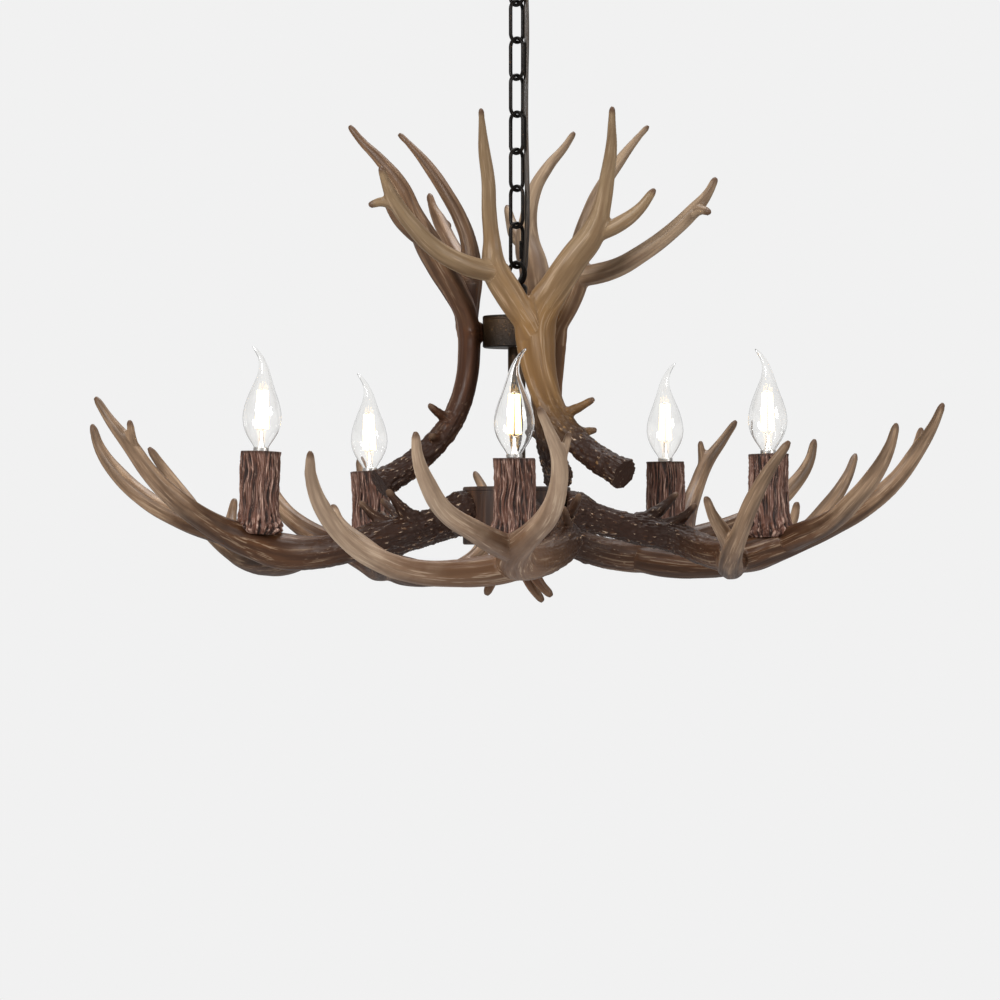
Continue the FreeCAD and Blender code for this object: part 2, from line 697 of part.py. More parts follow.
def make_hubs():
    make_hub("upper_hub", mm("upper_hub_radius"), mm("hub_wall") + mm("seat_depth"),
             upper_hub_top - mm("upper_hub_height"), mm("upper_hub_height") - mm("lid_thickness") - GAP,
             CROWN_TURNS, mm("boss_of_crown") + 1, upper_hub_middle)
    make_hub("lower_hub", mm("lower_hub_radius"), mm("lower_wall"),
             lower_hub_bottom, mm("lower_hub_height") - mm("lid_thickness") - GAP,
             ARM_TURNS, ARM_BEAM[0][3] + 1, arm_height + ARM_BEAM[0][2])
    make_lid("upper_hub_lid", size("upper_hub_radius"), upper_hub_top)
    make_lid("lower_hub_lid", size("lower_hub_radius"), lower_hub_top)


def make_finial():
    """The cluster of three tines screwed under the lower hub."""
    plate = flat_face(level_ring(-4.0, 13.0, HOLE_SIDES)).extrude(Vector(0, 0, 4.0))
    tines = [branch(tine, TINE_SIDES, Vector(0, 1, 0)) for tine in FINIAL_TINES]
    finial = plate.fuse(tines)
    finial = finial.cut(Part.makeBox(80, 80, 20, Vector(-40, -40, 0))).removeSplitter()
    copy_of(finial, "underside_finial", at_height(lower_hub_bottom - GAP))


# ---------------------------------------------------------------- antlers
def screw_shape():
    """A pan-head screw along local X, its head's outer face at the origin."""
    head = rod(Vector(), OUT, mm("screw_head"), mm("screw_head_height"))
    shank = rod(OUT * mm("screw_head_height"), OUT, mm("screw_radius"), mm("screw_length"))
    return head.fuse(shank)


def arm_casting():
    """The arm antler, its hub seat at x = 0 and its beam along +X."""
    girth = mm("arm_girth")
    beam = branch(ARM_BEAM, BEAM_SIDES, Vector(0, 1, 0), girth, start=OUT)
    tines = [branch(tine, TINE_SIDES, Vector(0, 1, 0), girth) for tine in ARM_TINES]
    foot = Vector(mm("candle_reach"), -5, -34 - 12 * girth + 4)
    hole = rod(foot, Vector(0, 0, 1), mm("pipe_radius") + mm("thread_play"), 40)
    return beam.fuse(tines).cut(hole)


def crown_casting():
    """The crown antler, its boss's seat on the upper hub at the origin."""
    girth = mm("crown_girth")
    beam = branch(CROWN_BEAM, BEAM_SIDES, Vector(0, 1, 0), girth)
    tines = [branch(tine, TINE_SIDES, Vector(0, 1, 0), girth) for tine in CROWN_TINES]
    boss = rod(Vector(), OUT, mm("boss_of_crown"), 12)
    return beam.fuse(tines + [boss])


def arm_place(number):
    droop = ARM_DROOPS[number]
    lift = abs(math.sin(math.radians(droop))) * (ARM_BEAM[0][3] + 1)
    seat = mm("lower_hub_radius") - mm("seat_depth") + GAP + lift
    place = seated(ARM_TURNS[number], seat, arm_height)
    return place.multiply(Placement(Vector(), Rotation(Vector(0, 1, 0), droop), Vector(0, 0, ARM_BEAM[0][2])))


def crown_place(number):
    lean = CROWN_LEANS[number]
    lift = abs(math.sin(math.radians(lean))) * mm("boss_of_crown")
    seat = mm("upper_hub_radius") - mm("seat_depth") + GAP + lift
    across = Vector(-math.sin(math.radians(CROWN_HEADING)), math.cos(math.radians(CROWN_HEADING)), 0)
    place = seated(CROWN_TURNS[number], seat, upper_hub_middle)
    return place.multiply(Placement(Vector(), Rotation(across, lean)))


def make_antlers():
    """Each casting is drilled level with its hub's screw, whatever way it hangs."""
    arm = arm_casting()
    crown = crown_casting()
    arm_seat = arm_height + ARM_BEAM[0][2]
    screws = []
    for name, casting, turns, place_of, radius, wall, height in (
        ("arm_antler", arm, ARM_TURNS, arm_place, mm("lower_hub_radius"), mm("lower_wall"), arm_seat),
        ("crown_antler", crown, CROWN_TURNS, crown_place, mm("upper_hub_radius"),
         mm("hub_wall") + mm("seat_depth"), upper_hub_middle),
    ):
        inside = (radius - wall) * math.cos(math.pi / ROUND_SIDES)
        head_face = math.sqrt(inside ** 2 - (mm("screw_head") * 1.1) ** 2) - GAP / 2
        for number, azimuth in enumerate(turns):
            place = place_of(number)
            frame = seated(azimuth, head_face - mm("screw_head_height"), height)
            screw = screw_shape()
            screw.Placement = frame
            screws.append(screw)
            hole = rod(Vector(), OUT, mm("screw_radius") + mm("thread_play"),
                       mm("screw_length") + mm("screw_head_height") + GAP)
            hole.Placement = place.inverse().multiply(frame)
            copy_of(casting.cut(hole), f"{name}_{number + 1}", place)
    copy_of(Part.makeCompound(screws), "antler_screws", Placement())


# ---------------------------------------------------------------- candles and bulbs
def bark_ring(height, radius, swell, phase):
    """An uneven many-sided ring of the stump-like sleeve."""
    sides = 14
    points = []
    for corner in range(sides):
        angle = 2 * math.pi * corner / sides
        reach = radius * (1 + 0.03 * math.sin(3 * angle + phase)) + swell * (0.5 + 0.5 * math.cos(2 * angle + 0.7))
        points.append(Vector(reach * math.cos(angle), reach * math.sin(angle), height))
    return points


def candle_sleeve():
    """A hollow stump that stands on the beam and fits over it like a saddle."""
    radius = mm("candle_radius")
    top = mm("candle_top")
    stump = skin([
        bark_ring(-27.0, radius, 2.5, 0.2), bark_ring(-19.0, radius, 4.0, 0.2),
        bark_ring(-9.0, radius, 0.8, 0.9), bark_ring(top * 0.5, radius, 0.0, 1.9),
        bark_ring(top, radius, 0.0, 2.6),
    ])
    bore = flat_face(level_ring(-60, mm("candle_bore"), HOLE_SIDES)).extrude(Vector(0, 0, 200))
    girth = mm("arm_girth")
    cutters = [
        branch(ARM_BEAM, BEAM_SIDES, Vector(0, 1, 0), girth, GAP, start=OUT),
        branch(ARM_TINES[1], TINE_SIDES, Vector(0, 1, 0), girth, GAP),
        branch(ARM_TINES[2], TINE_SIDES, Vector(0, 1, 0), girth, GAP),
    ]
    for cutter in cutters:
        cutter.translate(Vector(-mm("candle_reach"), 5, 0))
    stump = stump.cut([bore] + cutters)
    return max(stump.Solids, key=lambda solid: solid.Volume)


def lamp_socket():
    top = mm("candle_top") - 4.0
    bore = (mm("base_radius") + mm("thread_play")) / math.cos(math.pi / HOLE_SIDES)
    tube = polygon_tube(mm("socket_radius"), bore, mm("socket_length"), HOLE_SIDES)
    floor = polygon_tube(mm("socket_radius"), mm("pipe_radius") * 0.5, 12.0, HOLE_SIDES)
    socket = tube.fuse(floor).removeSplitter()
    socket.translate(Vector(0, 0, top - mm("socket_length")))
    return socket


def bulb_glass():
    """The flame-tip glass: many-sided, thin-walled, its tip leaning along +X."""
    height = mm("bulb_height")
    radius = mm("bulb_radius")
    inside = ((-0.01, FLAME[0][1], 0.0),) + FLAME[1:FLAME_INSIDE]
    glass = None
    for rows, thinner in ((FLAME, 0.0), (inside, mm("glass_wall"))):
        form = skin([level_ring(up * height, wide * radius - thinner, 10, lean) for up, wide, lean in rows])
        glass = form if glass is None else glass.cut(form)
    return glass


def bulb_base():
    """The screw base with its contact button."""
    length = mm("base_length")
    shell = polygon_tube(mm("base_radius"), mm("base_radius") - 1.0, length, 12)
    button = flat_face(level_ring(-2, 3.0, 12)).extrude(Vector(0, 0, 4.0))
    floor = flat_face(level_ring(0, mm("base_radius") - 0.5, 12)).extrude(Vector(0, 0, 2.0))
    base = shell.fuse([floor, button]).removeSplitter()
    base.translate(Vector(0, 0, -length - GAP))
    return base


def bulb_filaments():
    """Four upright filament sticks on a glass stem."""
    stem = flat_face(level_ring(-0.2, 2.4, 6)).extrude(Vector(0, 0, 18.7))
    pieces = [flat_face(level_ring(height, reach, 6)).extrude(Vector(0, 0, 1.0))
              for height, reach in ((18.0, 4.6), (54.0, 3.4))]
    pieces.append(flat_face(level_ring(-0.2, mm("base_radius") - 0.3, HOLE_SIDES)).extrude(Vector(0, 0, 0.8)))
    for quarter in range(4):
        turn = math.radians(90 * quarter + 45)
        foot = Vector(3.4 * math.cos(turn), 3.4 * math.sin(turn), 18.5)
        head = Vector(2.4 * math.cos(turn), 2.4 * math.sin(turn), 54.5)
        run = (head - foot).normalize()
        pieces.append(skin([section(point, run, OUT - run * run.x, 0.9, 0.9, 3) for point in (foot, head)]))
    return stem.fuse(pieces).removeSplitter()


def make_candles():
    sleeve = candle_sleeve()
    socket = lamp_socket()
    glass = bulb_glass()
    base = bulb_base()
    filaments = bulb_filaments()
    pipe = polygon_tube(mm("pipe_radius"), mm("pipe_radius") - 1.4, mm("pipe_length"), 12)
    socket_bottom = mm("candle_top") - 4.0 - mm("socket_length")
    pipes = []
    for number, flame_turn in enumerate(FLAME_TURNS):
        seat = arm_place(number).multiply(Placement(Vector(mm("candle_reach"), -5, 0), Rotation()))
        copy_of(sleeve.copy(), f"candle_sleeve_{number + 1}", seat)
        copy_of(socket.copy(), f"lamp_socket_{number + 1}", seat)
        nipple = pipe.copy()
        nipple.Placement = seat.multiply(at_height(socket_bottom - GAP - mm("pipe_length")))
        pipes.append(nipple)
        twist = Rotation(Vector(0, 0, 1), flame_turn - ARM_TURNS[number])
        place = seat.multiply(Placement(Vector(0, 0, mm("candle_top") + 1.0), twist))
        copy_of(glass.copy(), f"bulb_glass_{number + 1}", place)
        copy_of(base.copy(), f"bulb_base_{number + 1}", place)
        copy_of(filaments.copy(), f"bulb_filaments_{number + 1}", place)
    copy_of(Part.makeCompound(pipes), "socket_pipes", Placement())


# ---------------------------------------------------------------- build and write
make_crossbar()
make_nipple()
make_canopy()
make_chain()
make_quick_link()
make_loops()
make_cord("supply_cord", CORD_ROUTE, mm("cord_radius"))
make_cord("earth_wire", EARTH_ROUTE, mm("earth_radius"))
make_column()
make_hubs()
make_finial()
make_antlers()
make_candles()
doc.recompute()

for thing in doc.Objects:
    if "Invalid" in thing.State or "Error" in thing.State:
        raise RuntimeError(f"{thing.Label} did not compute: {thing.State}")
for thing in parts:
    if thing.Shape.isNull() or not thing.Shape.isValid() or not thing.Shape.Solids:
        raise RuntimeError(f"{thing.Label} has no valid shape")

os.makedirs("parts", exist_ok=True)
for thing in parts:
    thing.Shape.exportStep(f"parts/{thing.Label}.step")
print(f"{len(parts)} sub-parts written")
print("joints", [round(height, 3) for height in joint_heights])
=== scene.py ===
"""Antler chandelier: dresses the fixed frame with finished pieces, light and a camera.

Sizes in the classes are millimetres, as a maker would write them; every mesh is in
metres in the frame's own axes, with +Z up and -Y towards the viewer.
"""
from __future__ import annotations

import logging
import math
from dataclasses import dataclass
from enum import Enum
from typing import Callable, Optional, Sequence

import bpy
import numpy as np
from mathutils import Matrix, Vector, noise

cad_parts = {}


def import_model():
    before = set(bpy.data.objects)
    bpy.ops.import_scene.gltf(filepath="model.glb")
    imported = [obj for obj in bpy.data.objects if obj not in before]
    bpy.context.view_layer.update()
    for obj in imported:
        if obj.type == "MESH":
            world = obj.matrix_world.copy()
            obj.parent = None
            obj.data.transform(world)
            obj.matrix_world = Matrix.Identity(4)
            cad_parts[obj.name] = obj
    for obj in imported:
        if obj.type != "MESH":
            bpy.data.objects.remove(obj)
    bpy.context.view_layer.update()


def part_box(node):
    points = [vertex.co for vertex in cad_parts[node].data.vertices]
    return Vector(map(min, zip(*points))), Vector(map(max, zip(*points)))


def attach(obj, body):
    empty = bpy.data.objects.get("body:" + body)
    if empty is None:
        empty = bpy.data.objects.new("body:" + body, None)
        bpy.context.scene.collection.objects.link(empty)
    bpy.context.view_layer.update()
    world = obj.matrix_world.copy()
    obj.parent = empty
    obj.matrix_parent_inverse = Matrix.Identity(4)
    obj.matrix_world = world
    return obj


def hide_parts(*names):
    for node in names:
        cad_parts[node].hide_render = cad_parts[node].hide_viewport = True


LOG = logging.getLogger("chandelier")
MM = 0.001
# Radius in mm of a turned ring that stands for a point; its corners are merged.
POINT_RADIUS = 0.01
# Corners of any other turned piece closer than this, in mm, are merged.
MERGE = 0.001
FIXTURE = "fixture"
CEILING = "ceiling_fitting"

Piece = bpy.types.Object
Mesh = bpy.types.Mesh
Material = bpy.types.Material
Node = bpy.types.Node
Socket = bpy.types.NodeSocket
Tree = bpy.types.NodeTree

Spot = tuple[float, float, float]
Colour = tuple[float, float, float]
Station = tuple[float, float, float, float, float]
Run = tuple[float, tuple[Station, ...]]
Profile = Sequence[tuple[float, float]]


class Side(Enum):
    """Which way a loop's round boss stands from its eye."""

    ABOVE = 1
    BELOW = -1


# ------------------------------------------------------------------ modelling helpers
def clear_selection() -> None:
    """Leave edit mode and deselect everything."""
    if bpy.context.object and bpy.context.object.mode != "OBJECT":
        bpy.ops.object.mode_set(mode="OBJECT")
    bpy.ops.object.select_all(action="DESELECT")


def take(obj: Piece) -> Piece:
    """Select one object alone and make it active.

    Args:
        obj: the piece.

    Returns:
        The same piece.
    """
    clear_selection()
    obj.select_set(True)
    bpy.context.view_layer.objects.active = obj
    return obj


def named(name: str) -> Piece:
    """Name the object that an operator has just made.

    Args:
        name: its new name.

    Returns:
        The object.
    """
    obj = bpy.context.object
    obj.name = name
    obj.data.name = name
    return obj


def settle(obj: Piece) -> Piece:
    """Put an object's place into its mesh, so that it stands unturned at the origin.

    Args:
        obj: the piece.

    Returns:
        The same piece.
    """
    obj.data.transform(obj.matrix_basis)
    obj.matrix_basis = Matrix.Identity(4)
    obj.data.update()
    return obj


def tidy(obj: Piece, merge: float) -> None:
    """Merge doubled points and turn every face outwards.

    Args:
        obj: the piece.
        merge: points closer than this are merged, in metres.
    """
    take(obj)
    bpy.ops.object.mode_set(mode="EDIT")
    bpy.ops.mesh.select_all(action="SELECT")
    bpy.ops.mesh.remove_doubles(threshold=merge)
    bpy.ops.mesh.normals_make_consistent(inside=False)
    bpy.ops.object.mode_set(mode="OBJECT")


def smooth(obj: Piece, degrees: float) -> Piece:
    """Shade smooth up to an edge angle.

    Args:
        obj: the piece.
        degrees: edges sharper than this stay crisp.

    Returns:
        The same piece.
    """
    take(obj)
    bpy.ops.object.shade_smooth_by_angle(angle=math.radians(degrees))
    return obj


def apply_modifier(obj: Piece, kind: str, **settings: object) -> None:
    """Add a modifier, set it and apply it.

    Args:
        obj: the piece.
        kind: the modifier's type name.
        settings: the modifier's own properties.
    """
    take(obj)
    modifier = obj.modifiers.new(kind.lower(), kind)
    for key, value in settings.items():
        setattr(modifier, key, value)
    bpy.ops.object.modifier_apply(modifier=modifier.name)


def join(objects: Sequence[Piece], name: str) -> Piece:
    """Join meshes into one object of that name.

    Args:
        objects: two or more meshes.
        name: the name of what they make.

    Returns:
        The joined piece.
    """
    clear_selection()
    for obj in objects:
        obj.select_set(True)
    bpy.context.view_layer.objects.active = objects[0]
    bpy.ops.object.join()
    return named(name)


def lathe(name: str, profile: Profile, segments: int, closed: bool = True,
          angle: float = 35.0) -> Piece:
    """Turn a profile of (radius, height) in mm round Z by extruding and resizing a circle.

    Args:
        name: the piece's name.
        profile: its outline, from the first ring to the last.
        segments: how many sides a ring has.
        closed: whether the outline closes on itself, as a pipe's wall does.
        angle: edges sharper than this stay crisp.

    Returns:
        The piece, at the origin.
    """
    clear_selection()
    first = profile[0]
    bpy.ops.mesh.primitive_circle_add(
        vertices=segments, radius=max(first[0], POINT_RADIUS) * MM,
        location=(0, 0, first[1] * MM), fill_type="NOTHING",
    )
    obj = settle(named(name))
    bpy.ops.object.mode_set(mode="EDIT")
    bpy.ops.mesh.select_all(action="SELECT")
    points = list(profile) + ([first] if closed else [])
    for (radius, height), (next_radius, next_height) in zip(points, points[1:]):
        rise = (next_height - height) * MM
        bpy.ops.mesh.extrude_region_move(TRANSFORM_OT_translate={"value": (0, 0, rise)})
        ratio = max(next_radius, POINT_RADIUS) / max(radius, POINT_RADIUS)
        bpy.ops.transform.resize(
            value=(ratio, ratio, 1), center_override=(0, 0, next_height * MM)
        )
    bpy.ops.object.mode_set(mode="OBJECT")
    pointed = min(radius for radius, _ in profile) <= POINT_RADIUS
    tidy(obj, 2 * POINT_RADIUS * MM if pointed else MERGE * MM)
    return smooth(obj, angle)


def eye(name: str, bend: float, wire: float, straight: float = 0.0) -> Piece:
    """An upright ring or oval link in the XZ plane, its middle at the origin.

    Args:
        name: the piece's name.
        bend: radius of the bends, to the wire's middle, in mm.
        wire: the wire's radius in mm.
        straight: length of the straight sides in mm.

    Returns:
        The ring.
    """
    clear_selection()
    bpy.ops.mesh.primitive_torus_add(
        major_radius=bend * MM, minor_radius=wire * MM, major_segments=56, minor_segments=16,
        rotation=(math.pi / 2, 0, 0),
    )
    obj = settle(named(name))
    if straight:
        for vertex in obj.data.vertices:
            # A point at the very middle goes up with the upper bend.
            vertex.co.z += math.copysign(straight / 2 * MM, vertex.co.z + 1e-7)
    return smooth(obj, 60)


def rod(name: str, start: Vector, end: Vector, radius: float, sides: int) -> Piece:
    """A straight round rod between two points; all its lengths in mm.

    Args:
        name: the piece's name.
        start: the middle of one end.
        end: the middle of the other.
        radius: its radius.
        sides: how many sides it has.

    Returns:
        The rod.
    """
    along = (end - start) * MM
    clear_selection()
    bpy.ops.mesh.primitive_cylinder_add(vertices=sides, radius=radius * MM, depth=along.length)
    obj = named(name)
    turn = along.to_track_quat("Z", "Y").to_matrix().to_4x4()
    obj.matrix_basis = Matrix.Translation((start + end) / 2 * MM) @ turn
    return settle(obj)


def lift(height: float) -> Matrix:
    """A move straight up, in mm."""
    return Matrix.Translation((0, 0, height * MM))


def place_copy(source: Piece, name: str, place: Matrix) -> Piece:
    """Copy a piece with its own mesh and put the copy's place into that mesh.

    Args:
        source: the master piece.
        name: the copy's name.
        place: the copy's place, in metres.

    Returns:
        The copy.
    """
    copy = source.copy()
    copy.data = source.data.copy()
    copy.name = name
    copy.data.name = name
    bpy.context.scene.collection.objects.link(copy)
    copy.data.transform(place)
    copy.data.update()
    return copy


def remove(*masters: Piece) -> None:
    """Take master pieces out of the scene once their copies are made."""
    for obj in masters:
        bpy.data.objects.remove(obj, do_unlink=True)


def dress(obj: Piece, material: Material) -> Piece:
    """Give a piece one material.

    Args:
        obj: the piece.
        material: its only material.

    Returns:
        The same piece.
    """
    obj.data.materials.clear()
    obj.data.materials.append(material)
    return obj


def commit(obj: Piece, body: str, nodes: Sequence[str] = ()) -> Piece:
    """Fix a piece to its body, hide the frame's nodes it stands for and log its faces.

    Args:
        obj: the piece.
        body: the body it rides.
        nodes: the frame's nodes it stands for.

    Returns:
        The same piece.
    """
    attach(obj, body)
    if nodes:
        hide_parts(*nodes)
    faces = len(obj.data.polygons) if obj.type == "MESH" else 0
    LOG.info("%s: %d faces on %s", obj.name, faces, body)
    return obj


def outward(azimuth: float) -> Vector:
    """Level direction of an azimuth, 0 towards the viewer and growing to the right."""
    return Vector((math.sin(math.radians(azimuth)), -math.cos(math.radians(azimuth)), 0))


def turned(degrees: float, axis: object = "Z") -> Matrix:
    """A turn in degrees about an axis."""
    return Matrix.Rotation(math.radians(degrees), 4, axis)


def seated(azimuth: float, radius: float, height: float) -> Matrix:
    """Frame on a hub's side: local X points out, Z up; lengths in mm."""
    spot = outward(azimuth) * radius + Vector((0, 0, height))
    return Matrix.Translation(spot * MM) @ turned(azimuth - 90)


def smoothstep(low: float, high: float, value: np.ndarray) -> np.ndarray:
    """A soft step from 0 at low to 1 at high."""
    share = np.clip((value - low) / (high - low), 0.0, 1.0)
    return share * share * (3 - 2 * share)


def read_points(mesh: Mesh, key: str) -> np.ndarray:
    """One row for each point of a mesh: its place for "co", its normal for "normal".

    Args:
        mesh: the mesh.
        key: which of the two to read.

    Returns:
        An array of three columns.
    """
    values = np.empty(len(mesh.vertices) * 3)
    mesh.vertices.foreach_get(key, values)
    return values.reshape(-1, 3)


def write_attribute(mesh: Mesh, name: str, values: np.ndarray) -> None:
    """Store one value or vector for each point of a mesh.

    Args:
        mesh: the mesh.
        name: the attribute's name.
        values: an array of one column or of three.
    """
    kind, key = ("FLOAT", "value") if values.ndim == 1 else ("FLOAT_VECTOR", "vector")
    attribute = mesh.attributes.new(name, kind, "POINT")
    attribute.data.foreach_set(key, values.astype(np.float32).ravel())


# ------------------------------------------------------------------ node helpers
class Nodes:
    """A small builder for node trees; a value may be a number, a colour or a socket."""

    def __init__(self, tree: Tree) -> None:
        """Keep the tree that nodes are added to."""
        self.tree = tree

    def add(self, kind: str, **properties: object) -> Node:
        """Add a node and set its properties.

        Args:
            kind: the node's type name.
            properties: its properties by name.

        Returns:
            The node.
        """
        node = self.tree.nodes.new(kind)
        for key, value in properties.items():
            setattr(node, key, value)
        return node

    def link(self, start: Socket, end: Socket) -> None:
        """Join two sockets."""
        self.tree.links.new(start, end)

    def fill(self, socket: Socket, value: object) -> None:
        """Link a socket into an input, or set the input to a plain value.

        Args:
            socket: the input.
            value: a socket, a number, a colour or a vector.
        """
        if isinstance(value, Socket):
            self.link(value, socket)
        else:
            socket.default_value = value

    def feed(self, node: Node, **inputs: object) -> Node:
        """Fill a node's inputs by name, with spaces written as underscores.

        Args:
            node: the node.
            inputs: a value or a socket for each input.

        Returns:
            The same node.
        """
        for key, value in inputs.items():
            self.fill(node.inputs[key.replace("_", " ")], value)
        return node

    def math(self, operation: str, first: object, second: object = 0.0,
             clamp: bool = False) -> Socket:
        """One sum of two numbers.

        Args:
            operation: the sum's name.
            first: a number or a socket.
            second: a number or a socket.
            clamp: whether the result is kept from 0 to 1.

        Returns:
            The result.
        """
        node = self.add("ShaderNodeMath", operation=operation, use_clamp=clamp)
        for socket, value in zip(node.inputs, (first, second)):
            self.fill(socket, value)
        return node.outputs[0]

    def times(self, first: object, second: object, clamp: bool = False) -> Socket:
        """Two numbers multiplied."""
        return self.math("MULTIPLY", first, second, clamp)

    def plus(self, first: object, second: object) -> Socket:
        """Two numbers added."""
        return self.math("ADD", first, second)

    def rest(self, share: object) -> Socket:
        """What a share leaves of one."""
        return self.math("SUBTRACT", 1.0, share)

    def mix(self, factor: object, first: object, second: object) -> Socket:
        """Blend two colours.

        Args:
            factor: the second colour's share.
            first: a colour or a socket.
            second: a colour or a socket.

        Returns:
            The blend.
        """
        node = self.add("ShaderNodeMix", data_type="RGBA")
        self.fill(node.inputs[0], factor)
        for socket, colour in ((node.inputs[6], first), (node.inputs[7], second)):
            self.fill(socket, (*colour, 1.0) if isinstance(colour, tuple) else colour)
        return node.outputs[2]

    def ramp(self, value: Socket, low: float, high: float) -> Socket:
        """A smooth clamp of a value from low to high onto 0 to 1."""
        node = self.add("ShaderNodeMapRange", interpolation_type="SMOOTHSTEP")
        return self.feed(node, Value=value, From_Min=low, From_Max=high).outputs[0]

    def split(self, vector: Socket) -> Sequence[Socket]:
        """The three parts of a vector."""
        return self.feed(self.add("ShaderNodeSeparateXYZ"), Vector=vector).outputs

    def attribute(self, name: str, output: str = "Vector") -> Socket:
        """Read a mesh attribute."""
        return self.add("ShaderNodeAttribute", attribute_name=name).outputs[output]

    def place(self) -> Socket:
        """The piece's own coordinates, in metres."""
        return self.add("ShaderNodeTexCoord").outputs["Object"]

    def noise(self, vector: Socket, scale: object, detail: float = 4.0,
              rough: float = 0.55) -> Socket:
        """Fractal noise on a vector.

        Args:
            vector: where it is read.
            scale: how fine it is.
            detail: how many octaves it has.
            rough: how strong its finer octaves are.

        Returns:
            The noise, from 0 to 1.
        """
        node = self.add("ShaderNodeTexNoise")
        self.feed(node, Vector=vector, Scale=scale, Detail=detail, Roughness=rough)
        return node.outputs[0]

    def stretch(self, vector: Socket, along: float) -> Socket:
        """Shorten a vector along its third axis, which draws a texture out that way."""
        node = self.add("ShaderNodeMapping")
        return self.feed(node, Vector=vector, Scale=(1.0, 1.0, along)).outputs[0]

    def bump(self, height: Socket, distance: float, strength: float) -> Socket:
        """Turn a height into a normal; distance in mm."""
        node = self.add("ShaderNodeBump")
        return self.feed(node, Height=height, Strength=strength, Distance=distance * MM).outputs[0]

    def effect(self, group: Tree, **values: object) -> Node:
        """Place a shared effect with its own values."""
        return self.feed(self.add("ShaderNodeGroup", node_tree=group), **values)


def new_material(name: str) -> tuple[Material, Nodes, Node]:
    """A node material with its Principled shader.

    Args:
        name: the material's name.

    Returns:
        The material, its node builder and its shader.
    """
    material = bpy.data.materials.new(name)
    material.use_nodes = True
    shader = material.node_tree.nodes["Principled BSDF"]
    return material, Nodes(material.node_tree), shader


def new_group(name: str, inputs: dict[str, Optional[float]], outputs: Sequence[str]) -> tuple:
    """An empty shader node group with named sockets.

    Args:
        name: the group's name.
        inputs: each input's default, or None for a vector.
        outputs: the names of its outputs, all plain values.

    Returns:
        The group, its node builder, its input node and its output node.
    """
    group = bpy.data.node_groups.new(name, "ShaderNodeTree")
    for label, value in inputs.items():
        kind = "NodeSocketVector" if value is None else "NodeSocketFloat"
        socket = group.interface.new_socket(label, in_out="INPUT", socket_type=kind)
        if value is not None:
            socket.default_value = value
    for label in outputs:
        group.interface.new_socket(label, in_out="OUTPUT", socket_type="NodeSocketFloat")
    nodes = Nodes(group)
    return group, nodes, nodes.add("NodeGroupInput"), nodes.add("NodeGroupOutput")


class Effects:
    """Shared effects, each a node group built once."""

    def __init__(self) -> None:
        """Build every group."""
        self.streaks = self._streaks()
        self.edges_and_glints = self._edges_and_glints()
        self.dapple = self._dapple()

    @staticmethod
    def _streaks() -> Tree:
        """Broad and fine lines that run along a grown or grained piece.

        Returns:
            The group.
        """
        group, nodes, start, end = new_group(
            "streaks_along", {"Vector": None, "Scale": 260.0}, ("Broad", "Fine")
        )
        for label, along, share in (("Broad", 0.07, 0.45), ("Fine", 0.03, 2.2)):
            drawn = nodes.stretch(start.outputs["Vector"], along)
            scale = nodes.times(start.outputs["Scale"], share)
            lines = nodes.noise(drawn, scale, detail=3.0, rough=0.58)
            nodes.link(nodes.ramp(lines, 0.32, 0.68), end.inputs[label])
        return group

    @staticmethod
    def _edges_and_glints() -> Tree:
        """Where a dark metal shows gold: on its sharp edges, and in fine specks that are painted
        glints.

        Returns:
            The group.
        """
        group, nodes, start, end = new_group(
            "gold_edges_and_painted_glints", {"Amount": 0.5, "Scale": 420.0}, ("Mask", "Grain")
        )
        place, scale = nodes.place(), start.outputs["Scale"]
        coarse = nodes.noise(place, nodes.times(scale, 0.2), detail=3.0, rough=0.5)
        fine = nodes.noise(place, nodes.times(scale, 1.6), detail=6.0, rough=0.7)
        edges = nodes.ramp(nodes.add("ShaderNodeNewGeometry").outputs["Pointiness"], 0.56, 0.72)
        # Fine gold specks where the metal would glint: painted glints.
        painted_glints = nodes.times(nodes.ramp(coarse, 0.42, 0.66), nodes.ramp(fine, 0.60, 0.66))
        edges_and_highlights = nodes.plus(nodes.times(edges, 0.6), painted_glints)
        nodes.link(nodes.times(edges_and_highlights, start.outputs["Amount"], clamp=True), end.inputs["Mask"])
        nodes.link(fine, end.inputs["Grain"])
        return group

    @staticmethod
    def _dapple() -> Tree:
        """Soft uneven shade over a cast piece.

        Returns:
            The group.
        """
        group, nodes, start, end = new_group("dapple", {"Scale": 40.0}, ("Shade",))
        shade = nodes.noise(nodes.place(), start.outputs["Scale"], detail=4.0, rough=0.6)
        nodes.link(nodes.ramp(shade, 0.3, 0.7), end.inputs["Shade"])
        return group


# ------------------------------------------------------------------ finishes
@dataclass(frozen=True)
class Finish:
    """A finish of the light: its name, and what it gives the Principled shader."""

    name: str

    def make(self, effects: Effects) -> Material:
        """Build the material.

        Args:
            effects: the shared node groups.

        Returns:
            The material, under the finish's own name.
        """
        material, nodes, shader = new_material(self.name)
        nodes.feed(shader, **self.values(nodes, effects))
        return material

    def values(self, nodes: Nodes, effects: Effects) -> dict[str, object]:
        """The shader's inputs by name, each a value or a socket."""
        raise NotImplementedError


